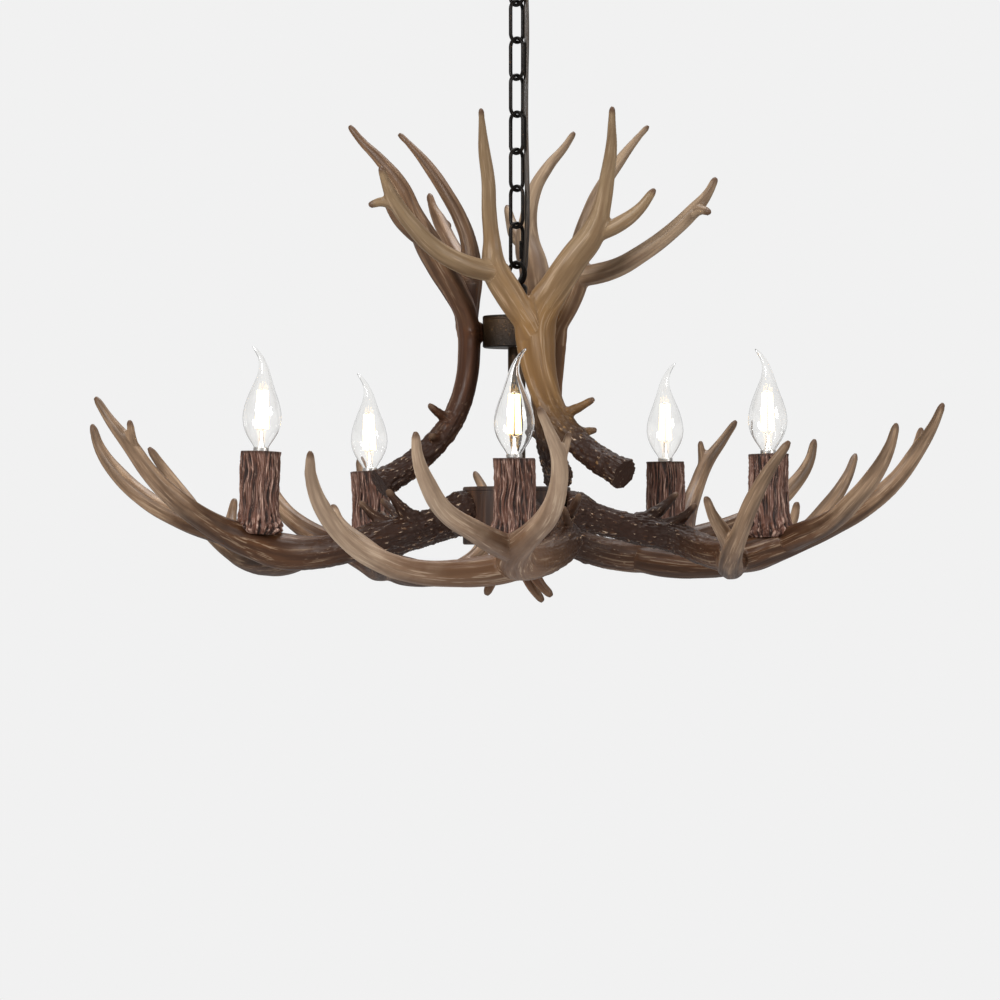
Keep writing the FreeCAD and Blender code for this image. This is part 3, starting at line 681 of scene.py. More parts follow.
@dataclass(frozen=True)
class AntlerFinish(Finish):
    """Cast antler: dark beaded root, streaked beam and a paler tine with a dark point."""

    root: Colour = (0.026, 0.010, 0.005)
    bead: Colour = (0.60, 0.44, 0.31)
    beam: Colour = (0.088, 0.036, 0.014)
    vein: Colour = (0.020, 0.008, 0.004)
    tine: Colour = (0.30, 0.195, 0.120)
    hair: Colour = (0.46, 0.33, 0.22)
    point: Colour = (0.11, 0.062, 0.036)
    veined: float = 0.72
    haired: float = 0.42
    beaded: float = 0.8
    streak_scale: float = 300.0
    dapple_scale: float = 24.0
    fleck_scale: float = 720.0
    fleck_stretch: float = 0.24
    roughness: float = 0.36
    shine: float = 0.22
    relief: float = 0.5

    def values(self, nodes: Nodes, effects: Effects) -> dict[str, object]:
        """The shader's inputs by name.

        Args:
            nodes: the node builder.
            effects: the shared node groups.

        Returns:
            A value or a socket for each input that the finish sets.
        """
        root, tone, crest = nodes.split(nodes.attribute("growth"))
        grain = nodes.attribute("grain")
        streaks = nodes.effect(effects.streaks, Vector=grain, Scale=self.streak_scale)
        broad, fine = streaks.outputs["Broad"], streaks.outputs["Fine"]
        shade = nodes.effect(effects.dapple, Scale=self.dapple_scale).outputs["Shade"]
        colour = self._grown(nodes, nodes.plus(tone, nodes.times(shade, 0.35)), broad, fine)
        colour = self._rooted(nodes, colour, grain, root, crest)
        colour = nodes.mix(nodes.attribute("tip", "Fac"), colour, self.point)
        dull = nodes.plus(nodes.times(root, 0.10), nodes.times(fine, 0.16))
        calm = nodes.rest(nodes.times(nodes.ramp(tone, 0.0, 0.7), 0.92))
        height = nodes.times(nodes.plus(broad, nodes.times(fine, 0.15)), calm)
        return dict(
            Base_Color=colour, Roughness=nodes.plus(dull, self.roughness),
            Specular_IOR_Level=self.shine, Normal=nodes.bump(height, self.relief, 0.6),
        )

    def _grown(self, nodes: Nodes, tone: Socket, broad: Socket, fine: Socket) -> Socket:
        """The beam's colour turning into the tine's, with dark veins and pale hairs.

        Args:
            nodes: the node builder.
            tone: 0 on the beam, growing to 1 on the tines.
            broad: the broad streaks.
            fine: the fine streaks.

        Returns:
            The colour.
        """
        colour = nodes.mix(nodes.ramp(tone, 0.2, 1.15), self.beam, self.tine)
        colour = nodes.mix(nodes.times(nodes.rest(broad), self.veined), colour, self.vein)
        thin = nodes.times(nodes.ramp(fine, 0.62, 0.95), nodes.ramp(broad, 0.3, 0.8))
        return nodes.mix(nodes.times(thin, self.haired), colour, self.hair)

    def _rooted(self, nodes: Nodes, colour: Socket, grain: Socket, root: Socket,
                crest: Socket) -> Socket:
        """The dark root laid over a colour, with pale dashes on its beads.

        Args:
            nodes: the node builder.
            colour: the colour further out.
            grain: coordinates along the growth.
            root: 1 on the root, falling to 0.
            crest: height of the root's beads.

        Returns:
            The colour.
        """
        dark = nodes.times(root, nodes.rest(nodes.ramp(crest, 0.70, 0.98)), clamp=True)
        colour = nodes.mix(dark, colour, self.root)
        drawn = nodes.stretch(grain, self.fleck_stretch)
        flecks = nodes.ramp(nodes.noise(drawn, self.fleck_scale), 0.59, 0.66)
        lit = nodes.times(nodes.times(root, nodes.ramp(crest, 0.42, 0.80)), flecks, clamp=True)
        return nodes.mix(nodes.times(lit, self.beaded), colour, self.bead)


@dataclass(frozen=True)
class BarkFinish(Finish):
    """Cast bark: dark red-brown cracks, and pinkish crests that carry a painted highlight."""

    name: str = "cast_bark"
    furrow: Colour = (0.018, 0.007, 0.004)
    bark: Colour = (0.150, 0.060, 0.036)
    # Colour of the painted highlight on the crests.
    crest: Colour = (0.56, 0.37, 0.29)
    rim: Colour = (0.040, 0.017, 0.011)
    streak_scale: float = 520.0
    roughness: float = 0.42
    shine: float = 0.4
    relief: float = 0.7

    def values(self, nodes: Nodes, effects: Effects) -> dict[str, object]:
        """The shader's inputs by name.

        Args:
            nodes: the node builder.
            effects: the shared node groups.

        Returns:
            A value or a socket for each input that the finish sets.
        """
        ridge, sharp, rim = nodes.split(nodes.attribute("ridge"))
        streaks = nodes.effect(
            effects.streaks, Vector=nodes.attribute("grain"), Scale=self.streak_scale
        )
        broad, fine = streaks.outputs["Broad"], streaks.outputs["Fine"]
        colour = nodes.mix(nodes.ramp(ridge, 0.10, 0.60), self.furrow, self.bark)
        colour = nodes.mix(nodes.times(nodes.rest(broad), 0.45), colour, self.furrow)
        # Painted highlight on the sharp crests, broken up by the fine streaks.
        edges_and_highlights = nodes.times(nodes.ramp(sharp, 0.45, 0.9), nodes.ramp(fine, 0.35, 0.9))
        colour = nodes.mix(nodes.times(edges_and_highlights, 0.85), colour, self.crest)
        height = nodes.plus(fine, nodes.times(broad, 1.4))
        return dict(
            Base_Color=nodes.mix(rim, colour, self.rim),
            Roughness=nodes.plus(nodes.times(fine, 0.15), self.roughness),
            Specular_IOR_Level=self.shine, Normal=nodes.bump(height, self.relief, 0.9),
        )


@dataclass(frozen=True)
class MetalFinish(Finish):
    """Dark bronze showing gold on its sharp edges and in fine specks of painted glints."""

    dark: Colour = (0.006, 0.004, 0.003)
    gold: Colour = (0.36, 0.20, 0.09)
    # Strength of the gold on sharp edges and of the painted glints.
    edges_and_glints: float = 0.5
    glint_scale: float = 420.0
    roughness: float = 0.26
    metallic: float = 0.35
    shine: float = 0.22
    pitted: float = 0.15

    def values(self, nodes: Nodes, effects: Effects) -> dict[str, object]:
        """The shader's inputs by name.

        Args:
            nodes: the node builder.
            effects: the shared node groups.

        Returns:
            A value or a socket for each input that the finish sets.
        """
        edges_and_highlights = nodes.effect(effects.edges_and_glints, Amount=self.edges_and_glints, Scale=self.glint_scale)
        mask, grain = edges_and_highlights.outputs["Mask"], edges_and_highlights.outputs["Grain"]
        return dict(
            # Gold on sharp edges and painted glints over the dark bronze.
            Base_Color=nodes.mix(mask, self.dark, self.gold), Metallic=self.metallic,
            Roughness=nodes.plus(nodes.times(grain, 0.25), self.roughness),
            Specular_IOR_Level=self.shine, Normal=nodes.bump(grain, self.pitted, 0.7),
        )


@dataclass(frozen=True)
class UprightGrainFinish(Finish):
    """Stained brown drum with upright grain."""

    name: str = "upright_grain"
    dark: Colour = (0.018, 0.007, 0.004)
    light: Colour = (0.085, 0.040, 0.021)
    streak_scale: float = 330.0
    roughness: float = 0.5
    relief: float = 0.4

    def values(self, nodes: Nodes, effects: Effects) -> dict[str, object]:
        """The shader's inputs by name.

        Args:
            nodes: the node builder.
            effects: the shared node groups.

        Returns:
            A value or a socket for each input that the finish sets.
        """
        streaks = nodes.effect(effects.streaks, Vector=nodes.place(), Scale=self.streak_scale)
        broad, fine = streaks.outputs["Broad"], streaks.outputs["Fine"]
        colour = nodes.mix(broad, self.dark, self.light)
        return dict(
            Base_Color=nodes.mix(nodes.times(fine, 0.4), colour, self.dark),
            Roughness=self.roughness, Normal=nodes.bump(broad, self.relief, 0.8),
        )


@dataclass(frozen=True)
class PlainFinish(Finish):
    """A moulded or wire finish with a faint uneven shade and grain."""

    colour: Colour
    second: Colour
    roughness: float = 0.45
    metallic: float = 0.0
    dapple_scale: float = 60.0
    relief: float = 0.05

    def values(self, nodes: Nodes, effects: Effects) -> dict[str, object]:
        """The shader's inputs by name.

        Args:
            nodes: the node builder.
            effects: the shared node groups.

        Returns:
            A value or a socket for each input that the finish sets.
        """
        shade = nodes.effect(effects.dapple, Scale=self.dapple_scale).outputs["Shade"]
        return dict(
            Base_Color=nodes.mix(shade, self.colour, self.second), Metallic=self.metallic,
            Roughness=nodes.plus(nodes.times(shade, 0.1), self.roughness),
            Normal=nodes.bump(shade, self.relief, 0.4),
        )


@dataclass(frozen=True)
class GlassFinish(Finish):
    """Clear lamp glass with a faint ripple."""

    name: str = "lamp_glass"
    clear: Colour = (1.0, 0.995, 0.985)
    cloud: Colour = (0.985, 0.985, 0.98)
    ripple_scale: float = 34.0
    relief: float = 0.05
    bending: float = 1.45

    def values(self, nodes: Nodes, effects: Effects) -> dict[str, object]:
        """The shader's inputs by name.

        Args:
            nodes: the node builder.
            effects: the shared node groups.

        Returns:
            A value or a socket for each input that the finish sets.
        """
        shade = nodes.effect(effects.dapple, Scale=self.ripple_scale).outputs["Shade"]
        return dict(
            Base_Color=nodes.mix(shade, self.clear, self.cloud), Roughness=0.0,
            IOR=self.bending, Transmission_Weight=1.0,
            Normal=nodes.bump(shade, self.relief, 0.15),
        )


@dataclass(frozen=True)
class GlowFinish(Finish):
    """A lit filament: white hot along its middle and yellow at both ends."""

    name: str = "lit_filament"
    hot: Colour = (1.0, 0.96, 0.88)
    glow: Colour = (1.0, 0.68, 0.30)
    strength: float = 12.0
    dimmed: float = 0.75
    middle: float = 36.75
    reach: float = 17.25
    dapple_scale: float = 300.0

    def values(self, nodes: Nodes, effects: Effects) -> dict[str, object]:
        """The shader's inputs by name.

        Args:
            nodes: the node builder.
            effects: the shared node groups.

        Returns:
            A value or a socket for each input that the finish sets.
        """
        height = nodes.times(nodes.split(nodes.place())[2], 1.0 / MM)
        offset = nodes.math("ABSOLUTE", nodes.math("SUBTRACT", height, self.middle))
        away = nodes.times(offset, 1.0 / self.reach)
        shade = nodes.effect(effects.dapple, Scale=self.dapple_scale).outputs["Shade"]
        ends = nodes.ramp(nodes.plus(away, nodes.times(shade, 0.15)), 0.78, 1.05)
        colour = nodes.mix(ends, self.hot, self.glow)
        loss = nodes.times(ends, -self.dimmed * self.strength)
        return dict(
            Base_Color=colour, Emission_Color=colour,
            Emission_Strength=nodes.plus(loss, self.strength),
        )


class Finishes:
    """Every material of the light."""

    def __init__(self) -> None:
        """Make the shared effects and each finish."""
        effects = Effects()
        self.arm = AntlerFinish("antler_brown").make(effects)
        self.pale_arm = AntlerFinish(
            "antler_pale", beam=(0.180, 0.096, 0.052), tine=(0.42, 0.30, 0.205),
            vein=(0.070, 0.034, 0.018), veined=0.5, hair=(0.62, 0.48, 0.35),
        ).make(effects)
        self.golden = AntlerFinish(
            "antler_golden", beam=(0.255, 0.140, 0.052), tine=(0.270, 0.185, 0.105),
            vein=(0.090, 0.040, 0.014), veined=0.55,
        ).make(effects)
        self.umber = AntlerFinish(
            "antler_umber", beam=(0.110, 0.043, 0.019), tine=(0.21, 0.120, 0.066),
            vein=(0.026, 0.010, 0.005),
        ).make(effects)
        self.middling = AntlerFinish(
            "antler_middling", beam=(0.16, 0.080, 0.034), tine=(0.32, 0.225, 0.145),
            vein=(0.060, 0.027, 0.013),
        ).make(effects)
        self.bark = BarkFinish().make(effects)
        self.bronze = MetalFinish("dark_bronze").make(effects)
        # More gold on sharp edges and more painted glints than the plain bronze.
        self.pitted = MetalFinish(
            "pitted_bronze", edges_and_glints=0.9, pitted=0.9, roughness=0.22
        ).make(effects)
        self.grain = UprightGrainFinish().make(effects)
        self.lampholder = PlainFinish(
            "black_lampholder", (0.012, 0.011, 0.010), (0.022, 0.020, 0.018)
        ).make(effects)
        self.shell = PlainFinish(
            "lamp_cap_metal", (0.62, 0.60, 0.57), (0.75, 0.73, 0.70), roughness=0.25, metallic=1.0
        ).make(effects)
        self.cord = PlainFinish(
            "brown_cord", (0.020, 0.014, 0.010), (0.045, 0.030, 0.020), roughness=0.32
        ).make(effects)
        self.wire = PlainFinish(
            "dark_wire", (0.028, 0.020, 0.014), (0.060, 0.038, 0.022), roughness=0.35
        ).make(effects)
        self.glass = GlassFinish().make(effects)
        self.glow = GlowFinish().make(effects)


# ------------------------------------------------------------------ antlers
@dataclass
class Branch:
    """One run of an antler through its stations: out, across, up, half width, half thickness."""

    origin: float
    stations: tuple[Station, ...]
    pointed: float = 2.0
    blunt: float = 2.3
    samples: int = 12

    def __post_init__(self) -> None:
        """Give a run that ends in a point the blunt round end of a real tine."""
        before, end = self.stations[-2], self.stations[-1]
        self.tined = end[3] < self.pointed
        if self.tined:
            near = tuple(b + (e - b) * 0.80 for b, e in zip(before[:3], end[:3]))
            wide = 0.45 * before[3] + 1.5
            tip = (*end[:3], self.blunt, self.blunt)
            self.stations = self.stations[:-1] + ((*near, wide, wide), tip)

    def build(self, name: str) -> Piece:
        """Sweep the run as a bevelled curve and make it a mesh, oval where the run is.

        Args:
            name: the mesh's name.

        Returns:
            The run as a closed mesh.
        """
        clear_selection()
        bpy.ops.curve.primitive_bezier_curve_add()
        curve = named(name).data
        spline = curve.splines[0]
        spline.bezier_points.add(len(self.stations) - 2)
        for point, (x, y, z, _, thickness) in zip(spline.bezier_points, self.stations):
            point.co = Vector((x, y, z)) * MM
            point.radius = thickness
            point.handle_left_type = point.handle_right_type = "AUTO"
        spline.radius_interpolation = "CARDINAL"
        spline.resolution_u = 10
        curve.bevel_depth = MM
        curve.bevel_resolution = 6
        curve.use_fill_caps = True
        obj = bpy.context.object
        obj.matrix_basis = Matrix.Identity(4)
        bpy.ops.object.convert(target="MESH")
        self._flatten(obj)
        return obj

    def axis(self) -> tuple[np.ndarray, np.ndarray, np.ndarray]:
        """The run finely sampled, in metres.

        Returns:
            Its middle line, its broad direction at each sample and each sample's station number.
        """
        points = np.array([station[:3] for station in self.stations], float) * MM
        last = len(points) - 1
        fine = []
        for index in range(last):
            before, here = points[max(index - 1, 0)], points[index]
            there, after = points[index + 1], points[min(index + 2, last)]
            bend = 2 * before - 5 * here + 4 * there - after
            twist = 3 * here - before - 3 * there + after
            for t in np.linspace(0, 1, self.samples, endpoint=False):
                fine.append(0.5 * (2 * here + (there - before) * t + bend * t * t + twist * t ** 3))
        line = np.array(fine + [points[-1]])
        broad = np.zeros_like(line)
        current = np.array([0.0, 1.0, 0.0])
        for index, tangent in enumerate(np.gradient(line, axis=0)):
            tangent = tangent / np.linalg.norm(tangent)
            current = current - tangent * current.dot(tangent)
            current /= np.linalg.norm(current)
            broad[index] = current
        return line, broad, np.linspace(0, last, len(line))

    def _flatten(self, obj: Piece) -> None:
        """Widen the run along its broad direction where it is oval.

        Args:
            obj: the swept run.
        """
        line, broad, share = self.axis()
        ovals = [width / thickness for *_, width, thickness in self.stations]
        ratio = np.interp(share, range(len(ovals)), ovals)
        if np.allclose(ratio, 1.0):
            return
        verts = read_points(obj.data, "co")
        nearest = np.argmin(((verts[:, None, :] - line[None]) ** 2).sum(-1), axis=1)
        offset = verts - line[nearest]
        along = (offset * broad[nearest]).sum(-1) * (ratio[nearest] - 1.0)
        verts = verts + broad[nearest] * along[:, None]
        obj.data.vertices.foreach_set("co", verts.ravel())


@dataclass
class AntlerCasting:
    """A cast antler: runs merged into one skin, then fluted, beaded and pitted.

    Lengths from the root are in mm: the dark root ends by root_end to root_fade, and the
    beam turns into the paler tines from pale_from to pale_by. A tine's point is dark for
    the first of two lengths and pale again after the second. A sawn root is cut at a
    spot, square to a direction that points out of it.
    """

    name: str
    runs: Sequence[Run]
    root_end: float
    root_fade: float
    pale_from: float
    pale_by: float
    voxel: float = 1.2
    beads: float = 1.0
    flute: float = 0.75
    dark_point: tuple[float, float] = (2.0, 8.0)
    sawn: Optional[tuple[Vector, Vector]] = None
    batch: int = 4000

    def __post_init__(self) -> None:
        """Make a branch of every run."""
        self.branches = [Branch(*run) for run in self.runs]

    def build(self) -> Piece:
        """Make the casting in its own frame, its seat at the origin.

        Returns:
            The master mesh with its growth, tip and grain attributes.
        """
        swept = [
            branch.build(f"{self.name}_run_{index}") for index, branch in enumerate(self.branches)
        ]
        obj = join(swept, self.name)
        apply_modifier(
            obj, "REMESH", mode="VOXEL", voxel_size=self.voxel * MM, use_smooth_shade=True
        )
        apply_modifier(obj, "SMOOTH", factor=0.7, iterations=15)
        self._grow(obj.data)
        if self.sawn:
            self._saw(obj)
        return smooth(obj, 60)

    def _saw(self, obj: Piece) -> None:
        """Cut the root off square to the saw's direction and fill the cut.

        Args:
            obj: the casting.
        """
        spot, direction = self.sawn
        take(obj)
        bpy.ops.object.mode_set(mode="EDIT")
        bpy.ops.mesh.select_all(action="SELECT")
        bpy.ops.mesh.bisect(plane_co=spot * MM, plane_no=direction, use_fill=True, clear_outer=True)
        bpy.ops.object.mode_set(mode="OBJECT")

    def _nearest_run(self, verts: np.ndarray) -> tuple[np.ndarray, ...]:
        """Where each point lies on the run whose skin is nearest to it.

        Args:
            verts: the points' places in metres, a batch of which is measured at a time.

        Returns:
            For each point, its length from the root, its length to the run's tip (a metre
            where the run has none), its turn round the run and the run's half thickness.
        """
        count = len(verts)
        best = np.full(count, 1e9)
        away, left, angle, wide = (np.zeros(count) for _ in range(4))
        for run in self.branches:
            line, broad, share = run.axis()
            lengths = np.linalg.norm(np.diff(line, axis=0), axis=1)
            steps = np.concatenate([[0], np.cumsum(lengths)])
            thickness = [station[4] for station in run.stations]
            half = np.interp(share, range(len(thickness)), thickness) * MM
            tangent = np.gradient(line, axis=0)
            tangent = tangent / np.linalg.norm(tangent, axis=1)[:, None]
            cross = np.cross(tangent, broad)
            for start in range(0, count, self.batch):
                part = slice(start, min(start + self.batch, count))
                gap = np.sqrt(((verts[part, None, :] - line[None]) ** 2).sum(-1))
                pick = np.argmin(gap - half[None], axis=1)
                value = gap[np.arange(len(pick)), pick] - half[pick]
                offset = verts[part] - line[pick]
                turn = np.arctan2((offset * cross[pick]).sum(-1), (offset * broad[pick]).sum(-1))
                place = np.clip(steps[pick] + (offset * tangent[pick]).sum(-1), 0.0, steps[-1])
                to_tip = steps[-1] - place if run.tined else np.ones(len(place))
                better = value < best[part]
                for target, source in (
                    (best, value), (away, run.origin * MM + place), (left, to_tip), (angle, turn),
                    (wide, np.interp(place, steps, half)),
                ):
                    target[part][better] = source[better]
        return away, left, angle, wide

    @staticmethod
    def _flute(turn: float, away: float) -> float:
        """Height of the shallow flutes at a turn round the run and a length from the root."""
        spot = Vector((math.cos(turn) * 1.7, math.sin(turn) * 1.7, away * 8.0))
        return noise.noise(spot) + 0.55 * noise.noise(spot * 2.2)

    @staticmethod
    def _burr(x: float, y: float, z: float) -> float:
        """Height, from 0 to 1, of the root's beads, ridges and pits; z runs along the root.

        Args:
            x: place across the root, in metres.
            y: place across the root, square to x.
            z: length from the root.

        Returns:
            The height.
        """
        first, second = noise.voronoi(Vector((x, y, z * 0.42)) * 300.0)[0][:2]
        bead = min(1.0, (second - first) * 1.7)
        ridge = 1.0 - abs(noise.noise(Vector((x, y, z * 0.16)) * 420.0)) * 2.4
        rough = noise.fractal(Vector((x, y, z * 0.6)) * 210.0, 1.0, 2.0, 4)
        return max(0.0, min(1.0, 0.50 * bead + 0.38 * ridge + 0.30 * rough + 0.10))

    def _grow(self, mesh: Mesh) -> None:
        """Shape the surface and store how far along its growth each point lies.

        Args:
            mesh: the casting's mesh.
        """
        verts, normals = read_points(mesh, "co"), read_points(mesh, "normal")
        away, left, angle, wide = self._nearest_run(verts)
        root = 1.0 - smoothstep(self.root_end * MM, self.root_fade * MM, away)
        crest = np.full(len(verts), 0.3)
        shift = np.zeros(len(verts))
        around = np.stack([np.cos(angle) * wide, np.sin(angle) * wide, away], axis=1)
        for index in range(len(verts)):
            thick = min(1.0, wide[index] / (9 * MM))
            shift[index] = self.flute * self._flute(angle[index], away[index]) * thick
            if root[index] >= 0.01:
                crest[index] = self._burr(*around[index])
                shift[index] += root[index] * self.beads * (crest[index] * 2.3 - 1.1)
        taper = np.clip(wide / (6 * MM), 0.12, 1.0)
        verts = verts + normals * (shift * taper * MM)[:, None]
        mesh.vertices.foreach_set("co", verts.ravel())
        mesh.update()
        tone = smoothstep(self.pale_from * MM, self.pale_by * MM, away)
        write_attribute(mesh, "growth", np.stack([root, tone, crest], axis=1))
        dark, pale = self.dark_point
        write_attribute(mesh, "tip", 1.0 - smoothstep(dark * MM, pale * MM, left))
        write_attribute(mesh, "grain", around)


# Each run is its first station's length from the root and its stations: out, across and up in
# mm, half width and half thickness.
ARM_RUNS: tuple[Run, ...] = (
    (0, ((0, 0, 1, 20.5, 20.5), (8, 4, 1, 20, 20), (18, 10, -2, 15, 15), (32, 19, -7, 13.5, 13.5),
         (58, 34, -15, 14, 13.5), (89, 42, -22, 14.5, 14), (119, 30, -33, 14.5, 14.5),
         (145, 12, -39, 16.5, 15), (171, -1, -38.5, 18, 16.4), (193, -5, -33, 17, 15),
         (218, -2, -25, 13.5, 13), (244, 9, -14, 10.8, 10.8), (273, 23, 3, 9.5, 9.5),
         (299, 30, 25, 8, 8), (319, 30, 50, 7, 7), (336, 22, 72, 5, 5), (348, 13, 92, 1.2, 1.2))),
    (330, ((306, 29, 36, 3.5, 3.5), (317, 34, 53, 4.2, 4.2), (322, 39, 72, 1.2, 1.2))),
    (240, ((203, -3, -30, 11, 11), (223, -17, -23, 11.5, 11.3), (255, -37, -12, 9.8, 9.6),
         (285, -65, 7, 8.5, 8.5), (307, -78, 28, 7.5, 7.5), (322, -86, 50, 5.5, 5.5),
         (330, -88, 72, 1.2, 1.2))),
    (190, ((150, 8, -40, 12, 12), (161, -22, -46, 14.5, 13.5), (170, -56, -49, 12.3, 12),
         (179, -89, -47, 11, 10.5), (188, -116, -39, 9.5, 10), (204, -146, -21, 8, 8),
         (223, -168, 8, 7.5, 7.5), (242, -177, 35, 5.5, 5.5), (258, -177, 56, 1.2, 1.2))),
    (300, ((185, -106, -42, 6, 6), (187, -136, -22, 7, 7), (182, -154, -5, 5, 5),
         (178, -161, 11, 1.2, 1.2))),
    (85, ((52, 34, -10, 9, 9), (68, 42, -2, 7, 7), (80, 49, 8, 4.6, 4.6), (90, 54, 19, 1.2, 1.2))),
    (100, ((70, 38, -17, 9, 9), (88, 41, -10, 7, 7), (101, 41, -2, 4.4, 4.4),
         (112, 39, 8, 1.2, 1.2))),
)
CROWN_RUNS: tuple[Run, ...] = (
    (0, ((105, 50, -138, 14.5, 14.5), (98, 45, -133, 14, 13.8), (85, 38, -126, 12.8, 12.3),
         (65, 28, -113, 12.5, 11.5), (48, 19, -98, 13, 11), (31, 9, -76, 14.5, 10.5),
         (20, 3, -48, 16.5, 10), (15, 0, -16, 21, 10), (15, 0, 4, 23, 10), (17, 6, 20, 18.5, 10.5),
         (25, 16, 39, 15.5, 11.5), (37, 28, 62, 14, 12.5), (47, 42, 84, 12, 12),
         (56, 48, 107, 8.4, 8.4), (67, 49, 134, 7, 7), (85, 45, 158, 5.5, 5.5),
         (102, 38, 177, 4, 4), (112, 34, 191, 1.2, 1.2))),
    (190, ((17, -8, 4, 12, 10), (15, -26, 32, 14, 11.5), (12, -38, 54, 12.2, 11),
         (12, -41, 81, 8, 8), (19, -46, 106, 7, 7), (30, -51, 129, 6.5, 6.5),
         (47, -62, 157, 5.5, 5.5), (64, -71, 179, 3.5, 3.5), (74, -76, 190, 1.2, 1.2))),
    (240, ((12, -28, 50, 8, 8), (15, -53, 53, 9.5, 9.5), (20, -77, 59, 9, 9),
         (23, -100, 70, 8.3, 8.3), (33, -126, 89, 7.5, 7.5), (43, -148, 111, 6.8, 6.8),
         (49, -157, 124, 4.8, 4.8), (53, -164, 139, 1.2, 1.2))),
    (370, ((41, -141, 104, 5, 5), (39, -157, 109, 4.6, 4.6), (35, -169, 106, 1.2, 1.2))),
    (280, ((46, 39, 80, 6.5, 6.5), (59, 63, 92, 7.2, 7.2), (71, 78, 105, 5.5, 5.5),
         (80, 90, 123, 1.2, 1.2))),
    (90, ((33, 9, -80, 6, 6), (44, 27, -72, 4.5, 4.5), (52, 40, -64, 1.2, 1.2))),
    (75, ((42, 14, -92, 6, 6), (47, 30, -94, 4.5, 4.5), (52, 42, -92, 1.2, 1.2))),
    (130, ((1, 0, 0, 9, 9), (8, 0, 0, 9.5, 9.5), (14, 0, 0, 9, 9))),
)
FINIAL_RUNS: tuple[Run, ...] = (
    (0, ((0, 0, -1, 7, 7), (-14, 4, -14, 6.8, 6.8), (-22, 6, -31, 5.5, 5.5),
         (-28, 7, -46, 1.2, 1.2))),
    (0, ((0, 0, -1, 7.5, 7.5), (10, -2, -17, 7, 6.5), (21, -4, -35, 5.4, 5),
         (32, -5, -47, 1.6, 1.6))),
    (0, ((0, 4, -1, 7, 7), (6, 7, -20, 6.2, 6.2), (14, 9, -38, 5, 5), (24, 10, -52, 1.2, 1.2))),
)


@dataclass(frozen=True)
class Levels:
    """Heights of the hanging parts in mm, worked out from the upper hub's top."""

    hub_top: float
    hub_half: float = 14.5
    arm_drop: float = 166.5
    lower_under: float = 27.0
    lower_over: float = 25.5

    @classmethod
    def read(cls) -> "Levels":
        """Take the top from the upper hub's lid in the frame."""
        return cls(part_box("upper_hub_lid")[1][2] / MM)

    @property
    def crown(self) -> float:
        """Middle of the upper hub, where the crown antlers are seated."""
        return self.hub_top - self.hub_half

    @property
    def hub_bottom(self) -> float:
        """Underside of the upper hub."""
        return self.crown - self.hub_half

    @property
    def arms(self) -> float:
        """Height at which the arms are seated."""
        return self.crown - self.arm_drop

    @property
    def lower_bottom(self) -> float:
        """Underside of the lower hub."""
        return self.arms - self.lower_under

    @property
    def lower_top(self) -> float:
        """Top of the lower hub's lid."""
        return self.arms + self.lower_over


@dataclass
class ArmSet:
    """Five arm antlers in a ring, each one casting turned and drooped its own way."""

    levels: Levels
    turns: tuple[float, ...] = (0.7, 71.4, 144.7, -143.2, -73.0)
    droops: tuple[float, ...] = (1.2, -1.0, -0.8, 2.0, -1.8)
    seat_radius: float = 46.8
    seat_half: float = 16.5
    pivot: float = 3.0
    candle_spot: Spot = (192.0, -5.0, 0.0)

    def place(self, number: int) -> Matrix:
        """Where an arm's own frame stands.

        Args:
            number: which one it is, from 0.

        Returns:
            Its frame, in metres.
        """
        droop = self.droops[number]
        radius = self.seat_radius + abs(math.sin(math.radians(droop))) * self.seat_half
        tilt = lift(self.pivot) @ turned(droop, "Y") @ lift(-self.pivot)
        return seated(self.turns[number], radius, self.levels.arms) @ tilt

    def candle(self, number: int) -> Matrix:
        """Where an arm's candle stands, upright with the arm."""
        return self.place(number) @ Matrix.Translation(Vector(self.candle_spot) * MM)

    def build(self, finishes: Finishes) -> None:
        """Cast the arm once and hang five copies, the front one in a paler shade.

        Args:
            finishes: the light's materials.
        """
        master = AntlerCasting(
            "arm_master", ARM_RUNS, root_end=95, root_fade=205, pale_from=210, pale_by=430
        ).build()
        for number in range(len(self.turns)):
            shade = finishes.arm if number else finishes.pale_arm
            arm = place_copy(master, f"antler_arm_{number + 1}", self.place(number))
            commit(dress(arm, shade), FIXTURE, [f"arm_antler_{number + 1}"])
        remove(master)


@dataclass
class CrownSet:
    """Three crown antlers round the upper hub."""

    levels: Levels
    turns: tuple[float, ...] = (-92.0, 23.6, 144.0)
    leans: tuple[float, ...] = (3.0, -1.2, -1.9)
    heading: float = 26.6
    seat_radius: float = 28.8
    seat_half: float = 9.0
    sawn_at: Spot = (99.0, 46.0, -133.5)
    sawn_square_to: Spot = (0.80, 0.38, -0.46)

    def place(self, number: int) -> Matrix:
        """Where a crown antler's own frame stands.

        Args:
            number: which one it is, from 0.

        Returns:
            Its frame, in metres.
        """
        lean, heading = self.leans[number], math.radians(self.heading)
        across = Vector((-math.sin(heading), math.cos(heading), 0))
        radius = self.seat_radius + abs(math.sin(math.radians(lean))) * self.seat_half
        return seated(self.turns[number], radius, self.levels.crown) @ turned(lean, across)

    def build(self, finishes: Finishes) -> None:
        """Cast the crown antler once and stand three copies, each in its own shade.

        Args:
            finishes: the light's materials.
        """
        master = AntlerCasting(
            "crown_master", CROWN_RUNS, root_end=55, root_fade=150, pale_from=150, pale_by=330,
            sawn=(Vector(self.sawn_at), Vector(self.sawn_square_to)),
        ).build()
        for number, shade in enumerate((finishes.umber, finishes.golden, finishes.middling)):
            crown = place_copy(master, f"antler_crown_{number + 1}", self.place(number))
            commit(dress(crown, shade), FIXTURE, [f"crown_antler_{number + 1}"])
        remove(master)


